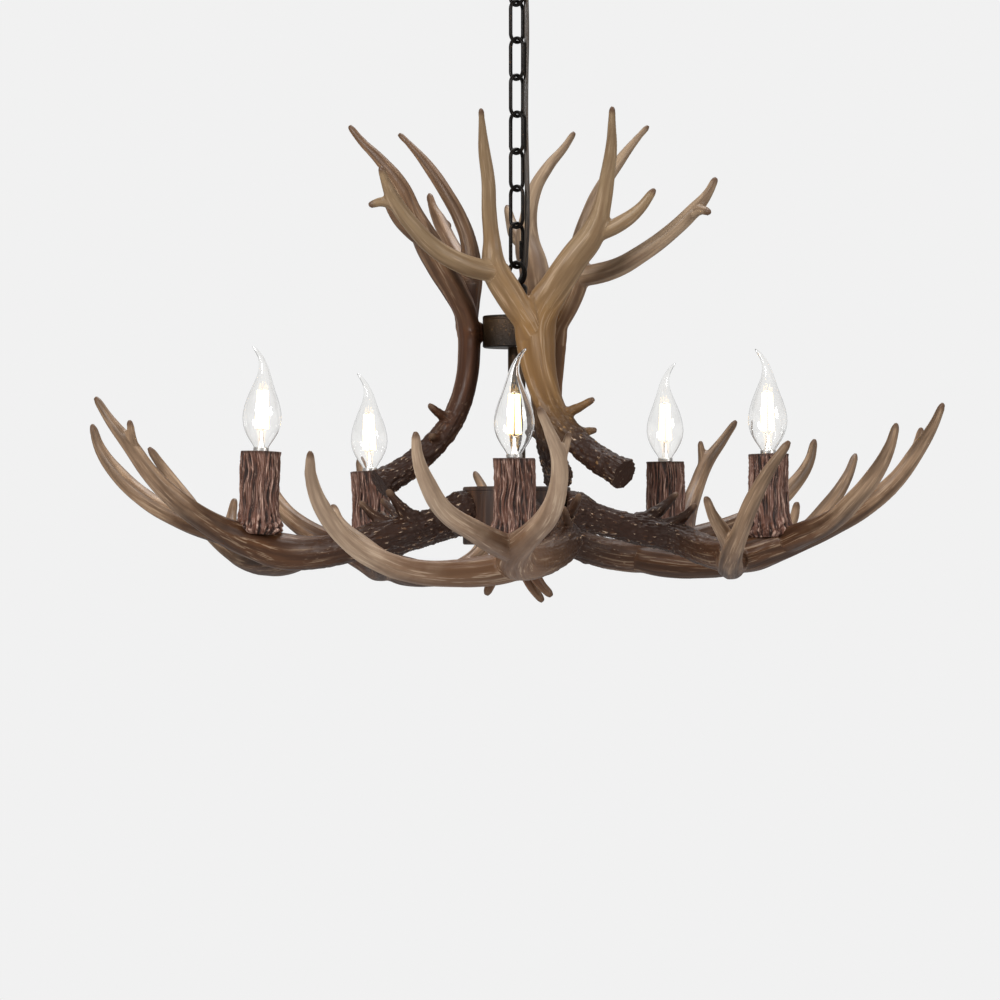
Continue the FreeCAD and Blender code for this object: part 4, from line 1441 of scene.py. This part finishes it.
# ------------------------------------------------------------------ candles and bulbs
@dataclass
class BarkSleeve:
    """A hollow stump of bark with a gnarled foot."""

    radius: float = 17.3
    bore: float = 14.0
    top: float = 50.0
    foot: float = -24.0
    flare_from: float = 1.0
    rows: int = 84
    segments: int = 240

    def build(self) -> Piece:
        """Turn the stump, then furrow and gnarl it.

        Returns:
            The master sleeve.
        """
        rise = (self.top - self.foot) / self.rows
        outer = [(self.radius, self.foot + rise * row) for row in range(self.rows + 1)]
        rim = [
            (self.radius - 1.2, self.top + 0.3), (self.bore + 0.8, self.top),
            (self.bore, self.top - 0.8),
        ]
        inner = [(self.bore, self.top - 12.0), (self.bore, self.foot + 1.0)]
        obj = lathe("bark_master", outer + rim + inner, self.segments, angle=60)
        self._furrow(obj.data)
        return obj

    @staticmethod
    def _plates(line: Vector, z: float) -> tuple[float, float]:
        """Height of the bark, and how sharp its crests are, at a place round and up the stump.

        Args:
            line: the place, drawn out upwards, in mm.
            z: its true height in mm.

        Returns:
            The height and the sharpness, each from 0 to 1.
        """
        plates = max(0.0, 1.0 - abs(noise.noise(line * 0.30)) * 2.6)
        ribs = max(0.0, 1.0 - abs(noise.noise(line * 0.66 + Vector((3, 1, 2)))) * 2.6)
        cracks = noise.noise(Vector((line.x, line.y, z * 0.5)) * 0.30)
        height = min(1.0, 0.55 * plates + 0.38 * ribs + 0.30 * max(0.0, cracks))
        return height, max(plates * plates, ribs * ribs * 0.9)

    def _furrow(self, mesh: Mesh) -> None:
        """Push the outside in and out along upright furrows and store the height.

        Args:
            mesh: the sleeve's mesh.
        """
        ridge = np.zeros((len(mesh.vertices), 3))
        grain = np.zeros((len(mesh.vertices), 3))
        for vertex in mesh.vertices:
            x, y, z = vertex.co / MM
            turn = math.atan2(y, x)
            around = Vector((math.cos(turn), math.sin(turn), 0))
            bent = turn + 0.16 * noise.noise(Vector((z * 0.045, around.x, around.y)))
            line = Vector((math.cos(bent) * self.radius, math.sin(bent) * self.radius, z * 0.085))
            height, crests = self._plates(line, z)
            flare = smoothstep(0.0, self.flare_from - self.foot, self.flare_from - z)
            knobs = noise.voronoi(Vector((x, y, z * 0.8)) * 0.22)[0]
            roots = min(1.0, (knobs[1] - knobs[0]) * 1.9)
            # Sharpness of the crests and knobs, where the bark finish paints its highlight.
            sharp = min(1.0, crests * (1.0 - 0.5 * flare) + 0.85 * flare * roots)
            rim = smoothstep(self.top - 3.0, self.top - 1.0, z)
            ridge[vertex.index] = (height, sharp, rim * 0.7)
            grain[vertex.index] = (line.x * MM, line.y * MM, z * MM)
            if math.hypot(x, y) > self.bore + 0.9:
                swell = noise.noise(around * 1.2 + Vector((0, 0, z * 0.022)))
                under = 1.0 - smoothstep(0.0, 4.0, self.foot + 4.0 - z)
                gnarl = flare * under * (3.0 + 3.6 * roots + 2.0 * swell)
                vertex.co += around * (height * 2.3 - 0.9 + 0.9 * swell + gnarl) * MM
        write_attribute(mesh, "ridge", ridge)
        write_attribute(mesh, "grain", grain)
        mesh.update()


@dataclass
class FlameBulb:
    """A clear bulb with a bent flame tip, four lit sticks and a screw cap.

    Each step of the outline is a share of the height, a share of the radius and the tip's
    lean in mm.
    """

    radius: float = 17.5
    height: float = 93.0
    wall: float = 0.5
    outline: tuple[Spot, ...] = (
        (0.0, 0.36, 0.0), (0.03, 0.37, 0.0), (0.07, 0.50, 0.0), (0.12, 0.68, 0.0),
        (0.18, 0.85, 0.0), (0.24, 0.955, 0.0), (0.30, 1.0, 0.0), (0.36, 0.985, 0.0),
        (0.43, 0.915, 0.0), (0.50, 0.80, 0.0), (0.57, 0.655, 0.0), (0.64, 0.51, -0.3),
        (0.71, 0.375, -0.6), (0.78, 0.27, -0.4), (0.84, 0.20, 0.7), (0.90, 0.155, 3.0),
        (0.95, 0.125, 6.0), (0.985, 0.10, 8.6), (1.0, 0.02, 9.8),
    )
    stem: Profile = (
        (0.01, 0.3), (4.2, 0.3), (3.0, 5.0), (1.9, 10.0), (1.7, 15.5), (0.9, 17.5), (0.01, 18.0),
    )
    threads: int = 6
    pitch: float = 2.6
    stick_radius: float = 1.4
    stick_foot: tuple[float, float] = (5.4, 19.5)
    stick_head: tuple[float, float] = (3.9, 54.0)
    stick_heading: float = 22.5
    lead_radius: float = 0.22
    lead_foot: tuple[float, float] = (0.8, 17.0)
    lead_head: tuple[float, float] = (0.0, 56.0)

    def glass(self) -> Piece:
        """Turn the envelope, bend its tip and give it a wall.

        Returns:
            The master envelope.
        """
        profile = [(share * self.radius, up * self.height) for up, share, _ in self.outline]
        obj = lathe("glass_master", profile, segments=56, closed=False, angle=70)
        ups = [up * self.height * MM for up, _, _ in self.outline]
        leans = [lean * MM for _, _, lean in self.outline]
        for vertex in obj.data.vertices:
            vertex.co.x += float(np.interp(vertex.co.z, ups, leans))
        apply_modifier(obj, "SOLIDIFY", thickness=self.wall * MM, offset=-1.0)
        return smooth(obj, 70)

    def cap(self) -> Piece:
        """The screw cap: bright neck collar, rolled thread and contact.

        Returns:
            The master cap.
        """
        profile = [(6.5, 2.8), (7.0, 2.2), (7.0, -0.2), (5.9, -0.6)]
        for turn in range(self.threads):
            low = -1.6 - turn * self.pitch
            profile += [(5.35, low), (5.8, low - 0.8), (5.8, low - 1.2), (5.35, low - 1.9)]
        profile += [(4.9, -18.2), (2.9, -20.2), (2.7, -22.0), (0.01, -22.2)]
        return lathe("cap_master", profile, segments=40, closed=False)

    def sticks(self) -> tuple[Piece, Piece]:
        """Four filament sticks, and the glass stem with its wires that carries them.

        Returns:
            The sticks in one mesh, and the stem with its wires in another.
        """
        bars, wires = [], []
        for quarter in range(4):
            turn = turned(90 * quarter + self.stick_heading)
            foot, head, low, high = (
                turn @ Vector((radius, 0, height)) for radius, height in
                (self.stick_foot, self.stick_head, self.lead_foot, self.lead_head)
            )
            bar = rod(f"stick_{quarter}", foot, head, self.stick_radius, sides=14)
            apply_modifier(bar, "BEVEL", width=0.6 * MM, segments=2)
            bars.append(bar)
            for start, end in ((foot, low), (head, high)):
                wires.append(rod("lead", start, end, self.lead_radius, sides=6))
        stem = lathe("stem", self.stem, segments=24, closed=False)
        return join(bars, "sticks_master"), join(wires + [stem], "stem_master")


@dataclass
class Candles:
    """Everything that stands on each arm: bark sleeve, lampholder and bulb."""

    arms: ArmSet
    flame_turns: tuple[float, ...] = (90.0, -90.0, 90.0, -90.0, -90.0)
    sleeve_step: float = 37.0
    bulb_seat: float = 51.0
    holder: Profile = (
        (11.0, 45.5), (11.0, 1.0), (10.2, 0.2), (2.6, 0.2), (2.6, 11.5), (6.25, 11.8),
        (6.25, 45.0), (7.2, 46.0), (10.4, 46.0),
    )

    def build(self, finishes: Finishes) -> None:
        """Make one of each piece and stand five copies.

        Args:
            finishes: the light's materials.
        """
        bulb = FlameBulb()
        sleeve = dress(BarkSleeve().build(), finishes.bark)
        glass = dress(bulb.glass(), finishes.glass)
        cap = dress(bulb.cap(), finishes.shell)
        sticks, stem = bulb.sticks()
        dress(sticks, finishes.glow)
        dress(stem, finishes.shell)
        holder = dress(lathe("holder_master", self.holder, segments=40), finishes.lampholder)
        for number, flame in enumerate(self.flame_turns):
            tag, seat = number + 1, self.arms.candle(number)
            twist = seat @ turned(self.sleeve_step * number)
            spot = seat @ lift(self.bulb_seat) @ turned(flame - self.arms.turns[number])
            for master, name, place, body, slot, node in (
                (sleeve, "bark_sleeve", twist, FIXTURE, "bark", "candle_sleeve"),
                (holder, "lampholder", seat, FIXTURE, "lampholder", "lamp_socket"),
                (glass, "lamp_glass", spot, f"bulb_{tag}", "glass", "bulb_glass"),
                (cap, "lamp_cap", spot, f"bulb_{tag}", "bulb_metal", "bulb_base"),
                (sticks, "lamp_sticks", spot, f"bulb_{tag}", "filament", "bulb_filaments"),
            ):
                piece = place_copy(master, f"{name}_{tag}", place)
                commit(piece, body, [f"{node}_{tag}"])
                if master is glass:
                    piece.visible_shadow = False
            commit(place_copy(stem, f"lamp_stem_{tag}", spot), f"bulb_{tag}")
        remove(sleeve, glass, cap, sticks, stem, holder)


# ------------------------------------------------------------------ hubs and column
@dataclass
class HubSet:
    """The two round hubs, their lids, the column between them and the finial below."""

    levels: Levels
    upper_radius: float = 31.0
    upper_room: float = 24.5
    lower_radius: float = 49.0
    lower_room: float = 41.5
    column_radius: float = 8.0
    column_bore: float = 5.4
    column_over: float = 11.4
    clearance: float = 0.1
    wall: float = 4.0
    rim: float = 3.8
    gap: float = 0.3
    plate: Profile = ((0.01, -4.0), (12.0, -4.0), (13.0, -3.0), (13.0, 0.0), (0.01, 0.0))

    def build(self, finishes: Finishes) -> None:
        """Turn each piece at its height.

        Args:
            finishes: the light's materials.
        """
        low, high = self.levels.lower_bottom, self.levels.lower_top
        bottom, top = self.levels.hub_bottom, self.levels.hub_top
        wide, broad = self.upper_radius, self.lower_radius
        foot = [(wide - 1.2, bottom), (wide, bottom + 1.2)]
        self._drum("upper", foot, (bottom, top), self.upper_room, finishes.pitted, 72)
        self._lid("upper", wide, top, 0.8, finishes.pitted, "hub_iron", 72)
        foot = [(broad - 1.5, low), (broad - 0.4, low + 0.5), (broad, low + 1.6)]
        self._drum("lower", foot, (low, high), self.lower_room, finishes.grain, 96)
        self._lid("lower", broad, high, 1.0, finishes.grain, "hub_wood", 96)
        inner, outer = self.column_bore, self.column_radius
        start, end = low + self.gap, top + self.column_over
        pipe = [(inner, start), (outer, start), (outer, end), (inner, end)]
        column = dress(lathe("column_pipe", pipe, segments=48), finishes.bronze)
        commit(column, FIXTURE, ["column_tube"])
        self._finial(finishes, low - self.gap)

    def _drum(self, name: str, foot: Profile, span: tuple[float, float], room: float,
              material: Material, segments: int) -> None:
        """A hollow drum, open at the top.

        Args:
            name: which hub it is.
            foot: the outline round its lower outer edge.
            span: heights of its underside and of its lid's top, in mm.
            room: radius of its hollow in mm.
            material: its finish.
            segments: how many sides it has.
        """
        (bottom, top), hole = span, self.column_radius + self.clearance
        drum = lathe(f"drum_{name}", [
            (hole, bottom), *foot, (foot[-1][0], top - self.rim), (room, top - self.rim),
            (room, bottom + self.wall), (hole, bottom + self.wall),
        ], segments)
        commit(dress(drum, material), FIXTURE, [f"{name}_hub"])

    def _lid(self, name: str, radius: float, top: float, edge: float,
             material: Material, slot: str, segments: int) -> None:
        """A drum's flat lid with a softened upper edge.

        Args:
            name: which hub it is.
            radius: its radius in mm.
            top: height of its top in mm.
            edge: width of the softened edge in mm.
            material: its finish.
            slot: not used.
            segments: how many sides it has.
        """
        hole, under = self.column_radius + self.clearance, top - self.rim + self.gap
        lid = lathe(f"drum_{name}_lid", [
            (hole, under), (radius, under), (radius, top - edge), (radius - edge, top), (hole, top),
        ], segments)
        commit(dress(lid, material), FIXTURE, [f"{name}_hub_lid"])

    def _finial(self, finishes: Finishes, height: float) -> None:
        """The cluster of tines below the lower drum, and the plate that holds it.

        Args:
            finishes: the light's materials.
            height: height of the plate's top in mm.
        """
        tines = AntlerCasting(
            "finial_tines", FINIAL_RUNS, root_end=6, root_fade=40, pale_from=5, pale_by=70,
            voxel=0.9, beads=0.5,
        ).build()
        plate = lathe("finial_plate", self.plate, segments=40, closed=False)
        for piece in (tines, plate):
            piece.data.transform(lift(height))
        commit(dress(tines, finishes.umber), FIXTURE, ["underside_finial"])
        commit(dress(plate, finishes.grain), FIXTURE)


# ------------------------------------------------------------------ chain and ceiling
@dataclass
class Hanging:
    """The ceiling fitting, the loops and the chain; joints are the heights of the hinges."""

    wire: float = 1.7
    bend: float = 7.8
    link_length: float = 40.8
    quick_length: float = 43.5
    eye_wire: float = 2.2
    eye_bend: float = 10.2
    eye_sunk: float = 0.88
    quick_rest: float = 4.2
    knurls: int = 12
    joints: tuple[float, ...] = (
        -59.12, -92.32, -126.02, -159.72, -193.42, -227.12, -260.82, -294.52, -330.92,
    )
    dish: Profile = (
        (6.6, -27.0), (21.0, -27.0), (30.0, -25.6), (39.0, -23.2), (47.0, -19.6), (53.0, -14.6),
        (57.0, -8.6), (59.2, -2.6), (59.5, 0.0), (58.0, 0.0), (57.6, -2.6), (55.4, -8.2),
        (51.6, -13.6), (46.0, -18.2), (38.4, -21.8), (30.0, -24.1), (21.0, -25.5), (6.6, -25.5),
    )
    collar: Profile = (
        (6.6, -27.3), (11.6, -27.3), (12.0, -27.8), (12.0, -31.4), (10.6, -33.3), (6.6, -33.3),
    )
    plain_nodes: tuple[str, ...] = (
        "canopy_nipple", "nipple_nut", "crossbar", "antler_screws", "socket_pipes",
    )

    @staticmethod
    def turn(index: int) -> Matrix:
        """Heading of a ring's flat: neighbours stand square to each other."""
        return turned(45.0 if index % 2 == 0 else -45.0)

    def build(self, finishes: Finishes) -> None:
        """Make the canopy, loops and chain.

        Args:
            finishes: the light's materials.
        """
        self._links(finishes)
        self._quick_link(finishes)
        self._loops(finishes)
        self._canopy(finishes)

    def _ring(self, name: str, length: float, finishes: Finishes) -> Piece:
        """A long link of a given length over all."""
        straight = length - 2 * (self.bend + self.wire)
        return dress(eye(name, self.bend, self.wire, straight), finishes.bronze)

    def _links(self, finishes: Finishes) -> None:
        """Seven welded links.

        Args:
            finishes: the light's materials.
        """
        link = self._ring("link_master", self.link_length, finishes)
        middle = self.link_length / 2 - self.wire
        for number in range(1, len(self.joints) - 1):
            spot = lift(self.joints[number] + middle) @ self.turn(number)
            ring = place_copy(link, f"oval_link_{number}", spot)
            commit(ring, f"link_{number}", [f"chain_link_{number}"])
        remove(link)

    def _quick_link(self, finishes: Finishes) -> None:
        """The quick link and its knurled barrel.

        Args:
            finishes: the light's materials.
        """
        last = len(self.joints) - 1
        spot = lift(self.joints[last]) @ self.turn(last)
        quick = self._ring("quick_link_bow", self.quick_length, finishes)
        quick.data.transform(spot @ lift(self.quick_length / 2 - self.wire))
        commit(quick, "quick_link", ["quick_link"])
        profile = [(1.85, 0.0), (3.0, 0.0), (3.3, 0.5)]
        for ring in range(self.knurls):
            low = 1.2 + ring * 1.2
            profile += [(3.3, low), (3.05, low + 0.3), (3.05, low + 0.6), (3.3, low + 0.9)]
        profile += [(3.3, 16.0), (3.0, 16.5), (1.85, 16.5)]
        barrel = dress(lathe("knurled_barrel", profile, segments=28), finishes.pitted)
        beside = Matrix.Translation((self.bend * MM, 0, (self.bend + 0.15) * MM))
        barrel.data.transform(spot @ beside)
        commit(barrel, "quick_link_barrel", ["quick_link_barrel"])

    def _loops(self, finishes: Finishes) -> None:
        """The eye under the canopy and the eye on the column, each on its round boss.

        Args:
            finishes: the light's materials.
        """
        reach = self.eye_bend - self.eye_sunk
        upper = self.joints[0] + self.eye_bend
        lower = self.joints[-1] + self.quick_rest - self.eye_bend
        for name, index, centre, height, deep, hole, side, body, node in (
            ("canopy_eye", 0, upper, 6.0, 3.9, 6.6, Side.ABOVE, CEILING, "canopy_loop"),
            ("column_eye", len(self.joints), lower, 28.7, 12.0, 8.1, Side.BELOW, FIXTURE,
             "column_loop"),
        ):
            end = reach + height
            boss = lathe(f"{name}_boss", [
                (4.7, reach + 0.4), (7.4, reach), (9.0, reach + 1.6), (9.6, reach + 3.0),
                (9.6, end - 0.6), (9.2, end), (hole, end), (hole, end - deep), (4.7, end - deep),
            ], segments=48)
            piece = join([eye(f"{name}_ring", self.eye_bend, self.eye_wire), boss], name)
            if side is Side.BELOW:
                piece.data.transform(turned(180, "X"))
            piece.data.transform(lift(centre) @ self.turn(index))
            commit(dress(piece, finishes.bronze), body, [node])

    def _canopy(self, finishes: Finishes) -> None:
        """The ceiling dish and its collar; the fittings behind them keep the frame's shapes.

        Args:
            finishes: the light's materials.
        """
        dish = lathe("ceiling_dish", self.dish, segments=96)
        commit(dress(dish, finishes.bronze), CEILING, ["canopy"])
        collar = lathe("dish_collar", self.collar, segments=48)
        commit(dress(collar, finishes.bronze), CEILING, ["loop_collar"])
        for node in self.plain_nodes:
            dress(bpy.data.objects[node], finishes.bronze)


@dataclass
class CordPair:
    """The supply cord and the earth wire, from the ceiling down the column.

    A cord cuts the corners of its route, so it is shorter than the route by the taut share.
    """

    supply: tuple[Spot, ...] = (
        (1.0, 0.4, -1.0), (1.3, 0.7, -20.3), (0.9, 0.4, -39.6), (6.9, 0.6, -50.33),
        (8.3, 0.5, -76.4), (9.4, 0.1, -116.26), (8.4, 0.4, -159.19), (8.2, 0.2, -202.12),
        (9.4, 0.5, -245.05), (9.8, 0.2, -284.91), (8.6, 0.4, -315.58), (7.4, 0.5, -335.51),
        (1.0, 0.2, -346.24), (0.6, 0.4, -368.34), (1.1, 0.1, -414.75), (0.4, 0.5, -465.58),
        (0.9, 0.0, -518.62), (0.5, 0.3, -567.24),
    )
    earth: tuple[Spot, ...] = (
        (-0.8, -2.6, -1.0), (-0.4, -2.9, -20.3), (-0.6, -2.7, -39.6), (7.4, -2.9, -50.33),
        (9.3, -3.4, -76.4), (10.0, -3.8, -116.26), (9.2, -3.3, -159.19), (9.6, -3.7, -202.12),
        (10.2, -3.3, -245.05), (9.5, -3.8, -284.91), (8.4, -3.3, -315.58), (7.9, -3.0, -335.51),
        (-0.6, -2.9, -346.24), (-0.9, -2.6, -368.34), (-0.5, -2.9, -414.75), (-1.0, -2.7, -465.58),
        (-0.6, -2.9, -518.62), (-0.9, -2.6, -567.24),
    )
    supply_radius: float = 2.3
    earth_radius: float = 1.0
    taut: float = 0.998

    def build(self, finishes: Finishes) -> None:
        """Lay both cords on their routes.

        Args:
            finishes: the light's materials.
        """
        for name, route, radius, material, slot, node in (
            ("cord_supply", self.supply, self.supply_radius, finishes.cord, "cord", "supply_cord"),
            ("wire_earth", self.earth, self.earth_radius, finishes.wire, "bare_wire", "earth_wire"),
        ):
            cord = dress(self._lay(name, route, radius), material)
            commit(cord, CEILING, [node])

    @staticmethod
    def _lay(name: str, route: Sequence[Spot], radius: float) -> Piece:
        """Run a smooth round cord through a route's control points; lengths in mm.

        Args:
            name: the cord's name.
            route: its control points.
            radius: its radius.

        Returns:
            The cord, as a live curve.
        """
        clear_selection()
        bpy.ops.curve.primitive_nurbs_path_add()
        obj = named(name)
        obj.matrix_basis = Matrix.Identity(4)
        curve = obj.data
        curve.splines.clear()
        spline = curve.splines.new("NURBS")
        spline.points.add(len(route) - 1)
        for point, spot in zip(spline.points, route):
            point.co = (*(Vector(spot) * MM), 1.0)
        spline.order_u = 3
        spline.use_endpoint_u = True
        spline.resolution_u = 12
        curve.bevel_depth = radius * MM
        curve.bevel_resolution = 5
        curve.use_fill_caps = True
        return obj


# ------------------------------------------------------------------ studio
@dataclass
class Studio:
    """Camera, lamps, floor and plain pale background; its sizes are in metres.

    Each lamp is given by its name, its place, its width and its power in watts. The room
    shows at the paper's lightness and lights the pieces less, reflections least of all.
    """

    distance: float = 3.9312
    height: float = -0.5963
    sensor: float = 36.0
    lens: float = 155.52
    shift: tuple[float, float] = (-0.0167, 0.059)
    aim: Spot = (0.0, 0.0, -0.45)
    lamps: tuple[tuple[str, Spot, float, float], ...] = (
        ("key", (-1.6, -2.2, 0.7), 1.1, 74.0),
        ("side", (2.0, -1.4, 0.2), 1.0, 27.0),
        ("over", (0.2, 0.6, 1.4), 1.4, 40.0),
        ("low", (0.0, -2.6, -1.4), 2.0, 5.0),
    )
    paper: float = 0.88
    room: float = 0.22
    mirrored: float = 0.25
    floor_size: float = 14.0
    floor_height: float = -1.75

    def build(self) -> None:
        """Set the studio up."""
        self._camera()
        self._lamps()
        self._world()
        self._floor()
        bpy.context.scene.view_settings.view_transform = "Standard"

    def _camera(self) -> None:
        """A level camera in front of the light."""
        data = bpy.data.cameras.new("camera")
        data.sensor_width = self.sensor
        data.lens = self.lens
        data.shift_x, data.shift_y = self.shift
        camera = bpy.data.objects.new("camera", data)
        camera.location = (0, -self.distance, self.height)
        camera.rotation_euler = (math.pi / 2, 0, 0)
        bpy.context.scene.collection.objects.link(camera)
        bpy.context.scene.camera = camera

    def _lamps(self) -> None:
        """Large soft lamps: above left, above right, overhead behind and low in front."""
        for name, spot, size, power in self.lamps:
            lamp = bpy.data.lights.new(name, "AREA")
            lamp.shape = "DISK"
            lamp.size = size
            lamp.energy = power
            obj = bpy.data.objects.new(name, lamp)
            obj.location = spot
            ahead = Vector(self.aim) - Vector(spot)
            obj.rotation_euler = ahead.to_track_quat("-Z", "Y").to_euler()
            bpy.context.scene.collection.objects.link(obj)

    def _world(self) -> None:
        """Pale surroundings, seen plainly and lighting gently."""
        world = bpy.data.worlds.new("pale_room")
        bpy.context.scene.world = world
        world.use_nodes = True
        nodes = Nodes(world.node_tree)
        rays = nodes.add("ShaderNodeLightPath").outputs
        seen = nodes.math("MAXIMUM", rays["Is Camera Ray"], rays["Is Transmission Ray"])
        seen = nodes.math("MAXIMUM", seen, nodes.times(rays["Is Glossy Ray"], self.mirrored))
        nodes.feed(
            world.node_tree.nodes["Background"], Color=(1, 1, 1, 1),
            Strength=nodes.plus(nodes.times(seen, self.paper - self.room), self.room),
        )

    def _floor(self) -> None:
        """A plain pale floor well below the light, seen as light as the paper."""
        clear_selection()
        bpy.ops.mesh.primitive_plane_add(size=self.floor_size, location=(0, 0, self.floor_height))
        floor = settle(named("floor"))
        material, nodes, shader = new_material("pale_floor")
        seen = nodes.add("ShaderNodeLightPath").outputs["Is Camera Ray"]
        pale = nodes.mix(nodes.noise(nodes.place(), 3.0), (0.80, 0.80, 0.80), (0.84, 0.84, 0.84))
        nodes.feed(
            shader, Base_Color=nodes.mix(seen, pale, (0.0, 0.0, 0.0)), Roughness=0.8,
            Specular_IOR_Level=0.0, Emission_Color=(1, 1, 1, 1),
            Emission_Strength=nodes.times(seen, self.paper),
        )
        dress(floor, material)


def main() -> None:
    """Load the frame, build every sub-assembly and set up the studio."""
    logging.basicConfig(level=logging.INFO, format="%(name)s: %(message)s")
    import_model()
    levels = Levels.read()
    finishes = Finishes()
    arms = ArmSet(levels)
    steps: tuple[tuple[str, Callable[[], None]], ...] = (
        ("studio", Studio().build),
        ("cords", lambda: CordPair().build(finishes)),
        ("hanging", lambda: Hanging().build(finishes)),
        ("hubs", lambda: HubSet(levels).build(finishes)),
        ("arms", lambda: arms.build(finishes)),
        ("crown", lambda: CrownSet(levels).build(finishes)),
        ("candles", lambda: Candles(arms).build(finishes)),
    )
    for name, step in steps:
        step()
        LOG.info("%s built", name)


if __name__ == "__main__":
    main()
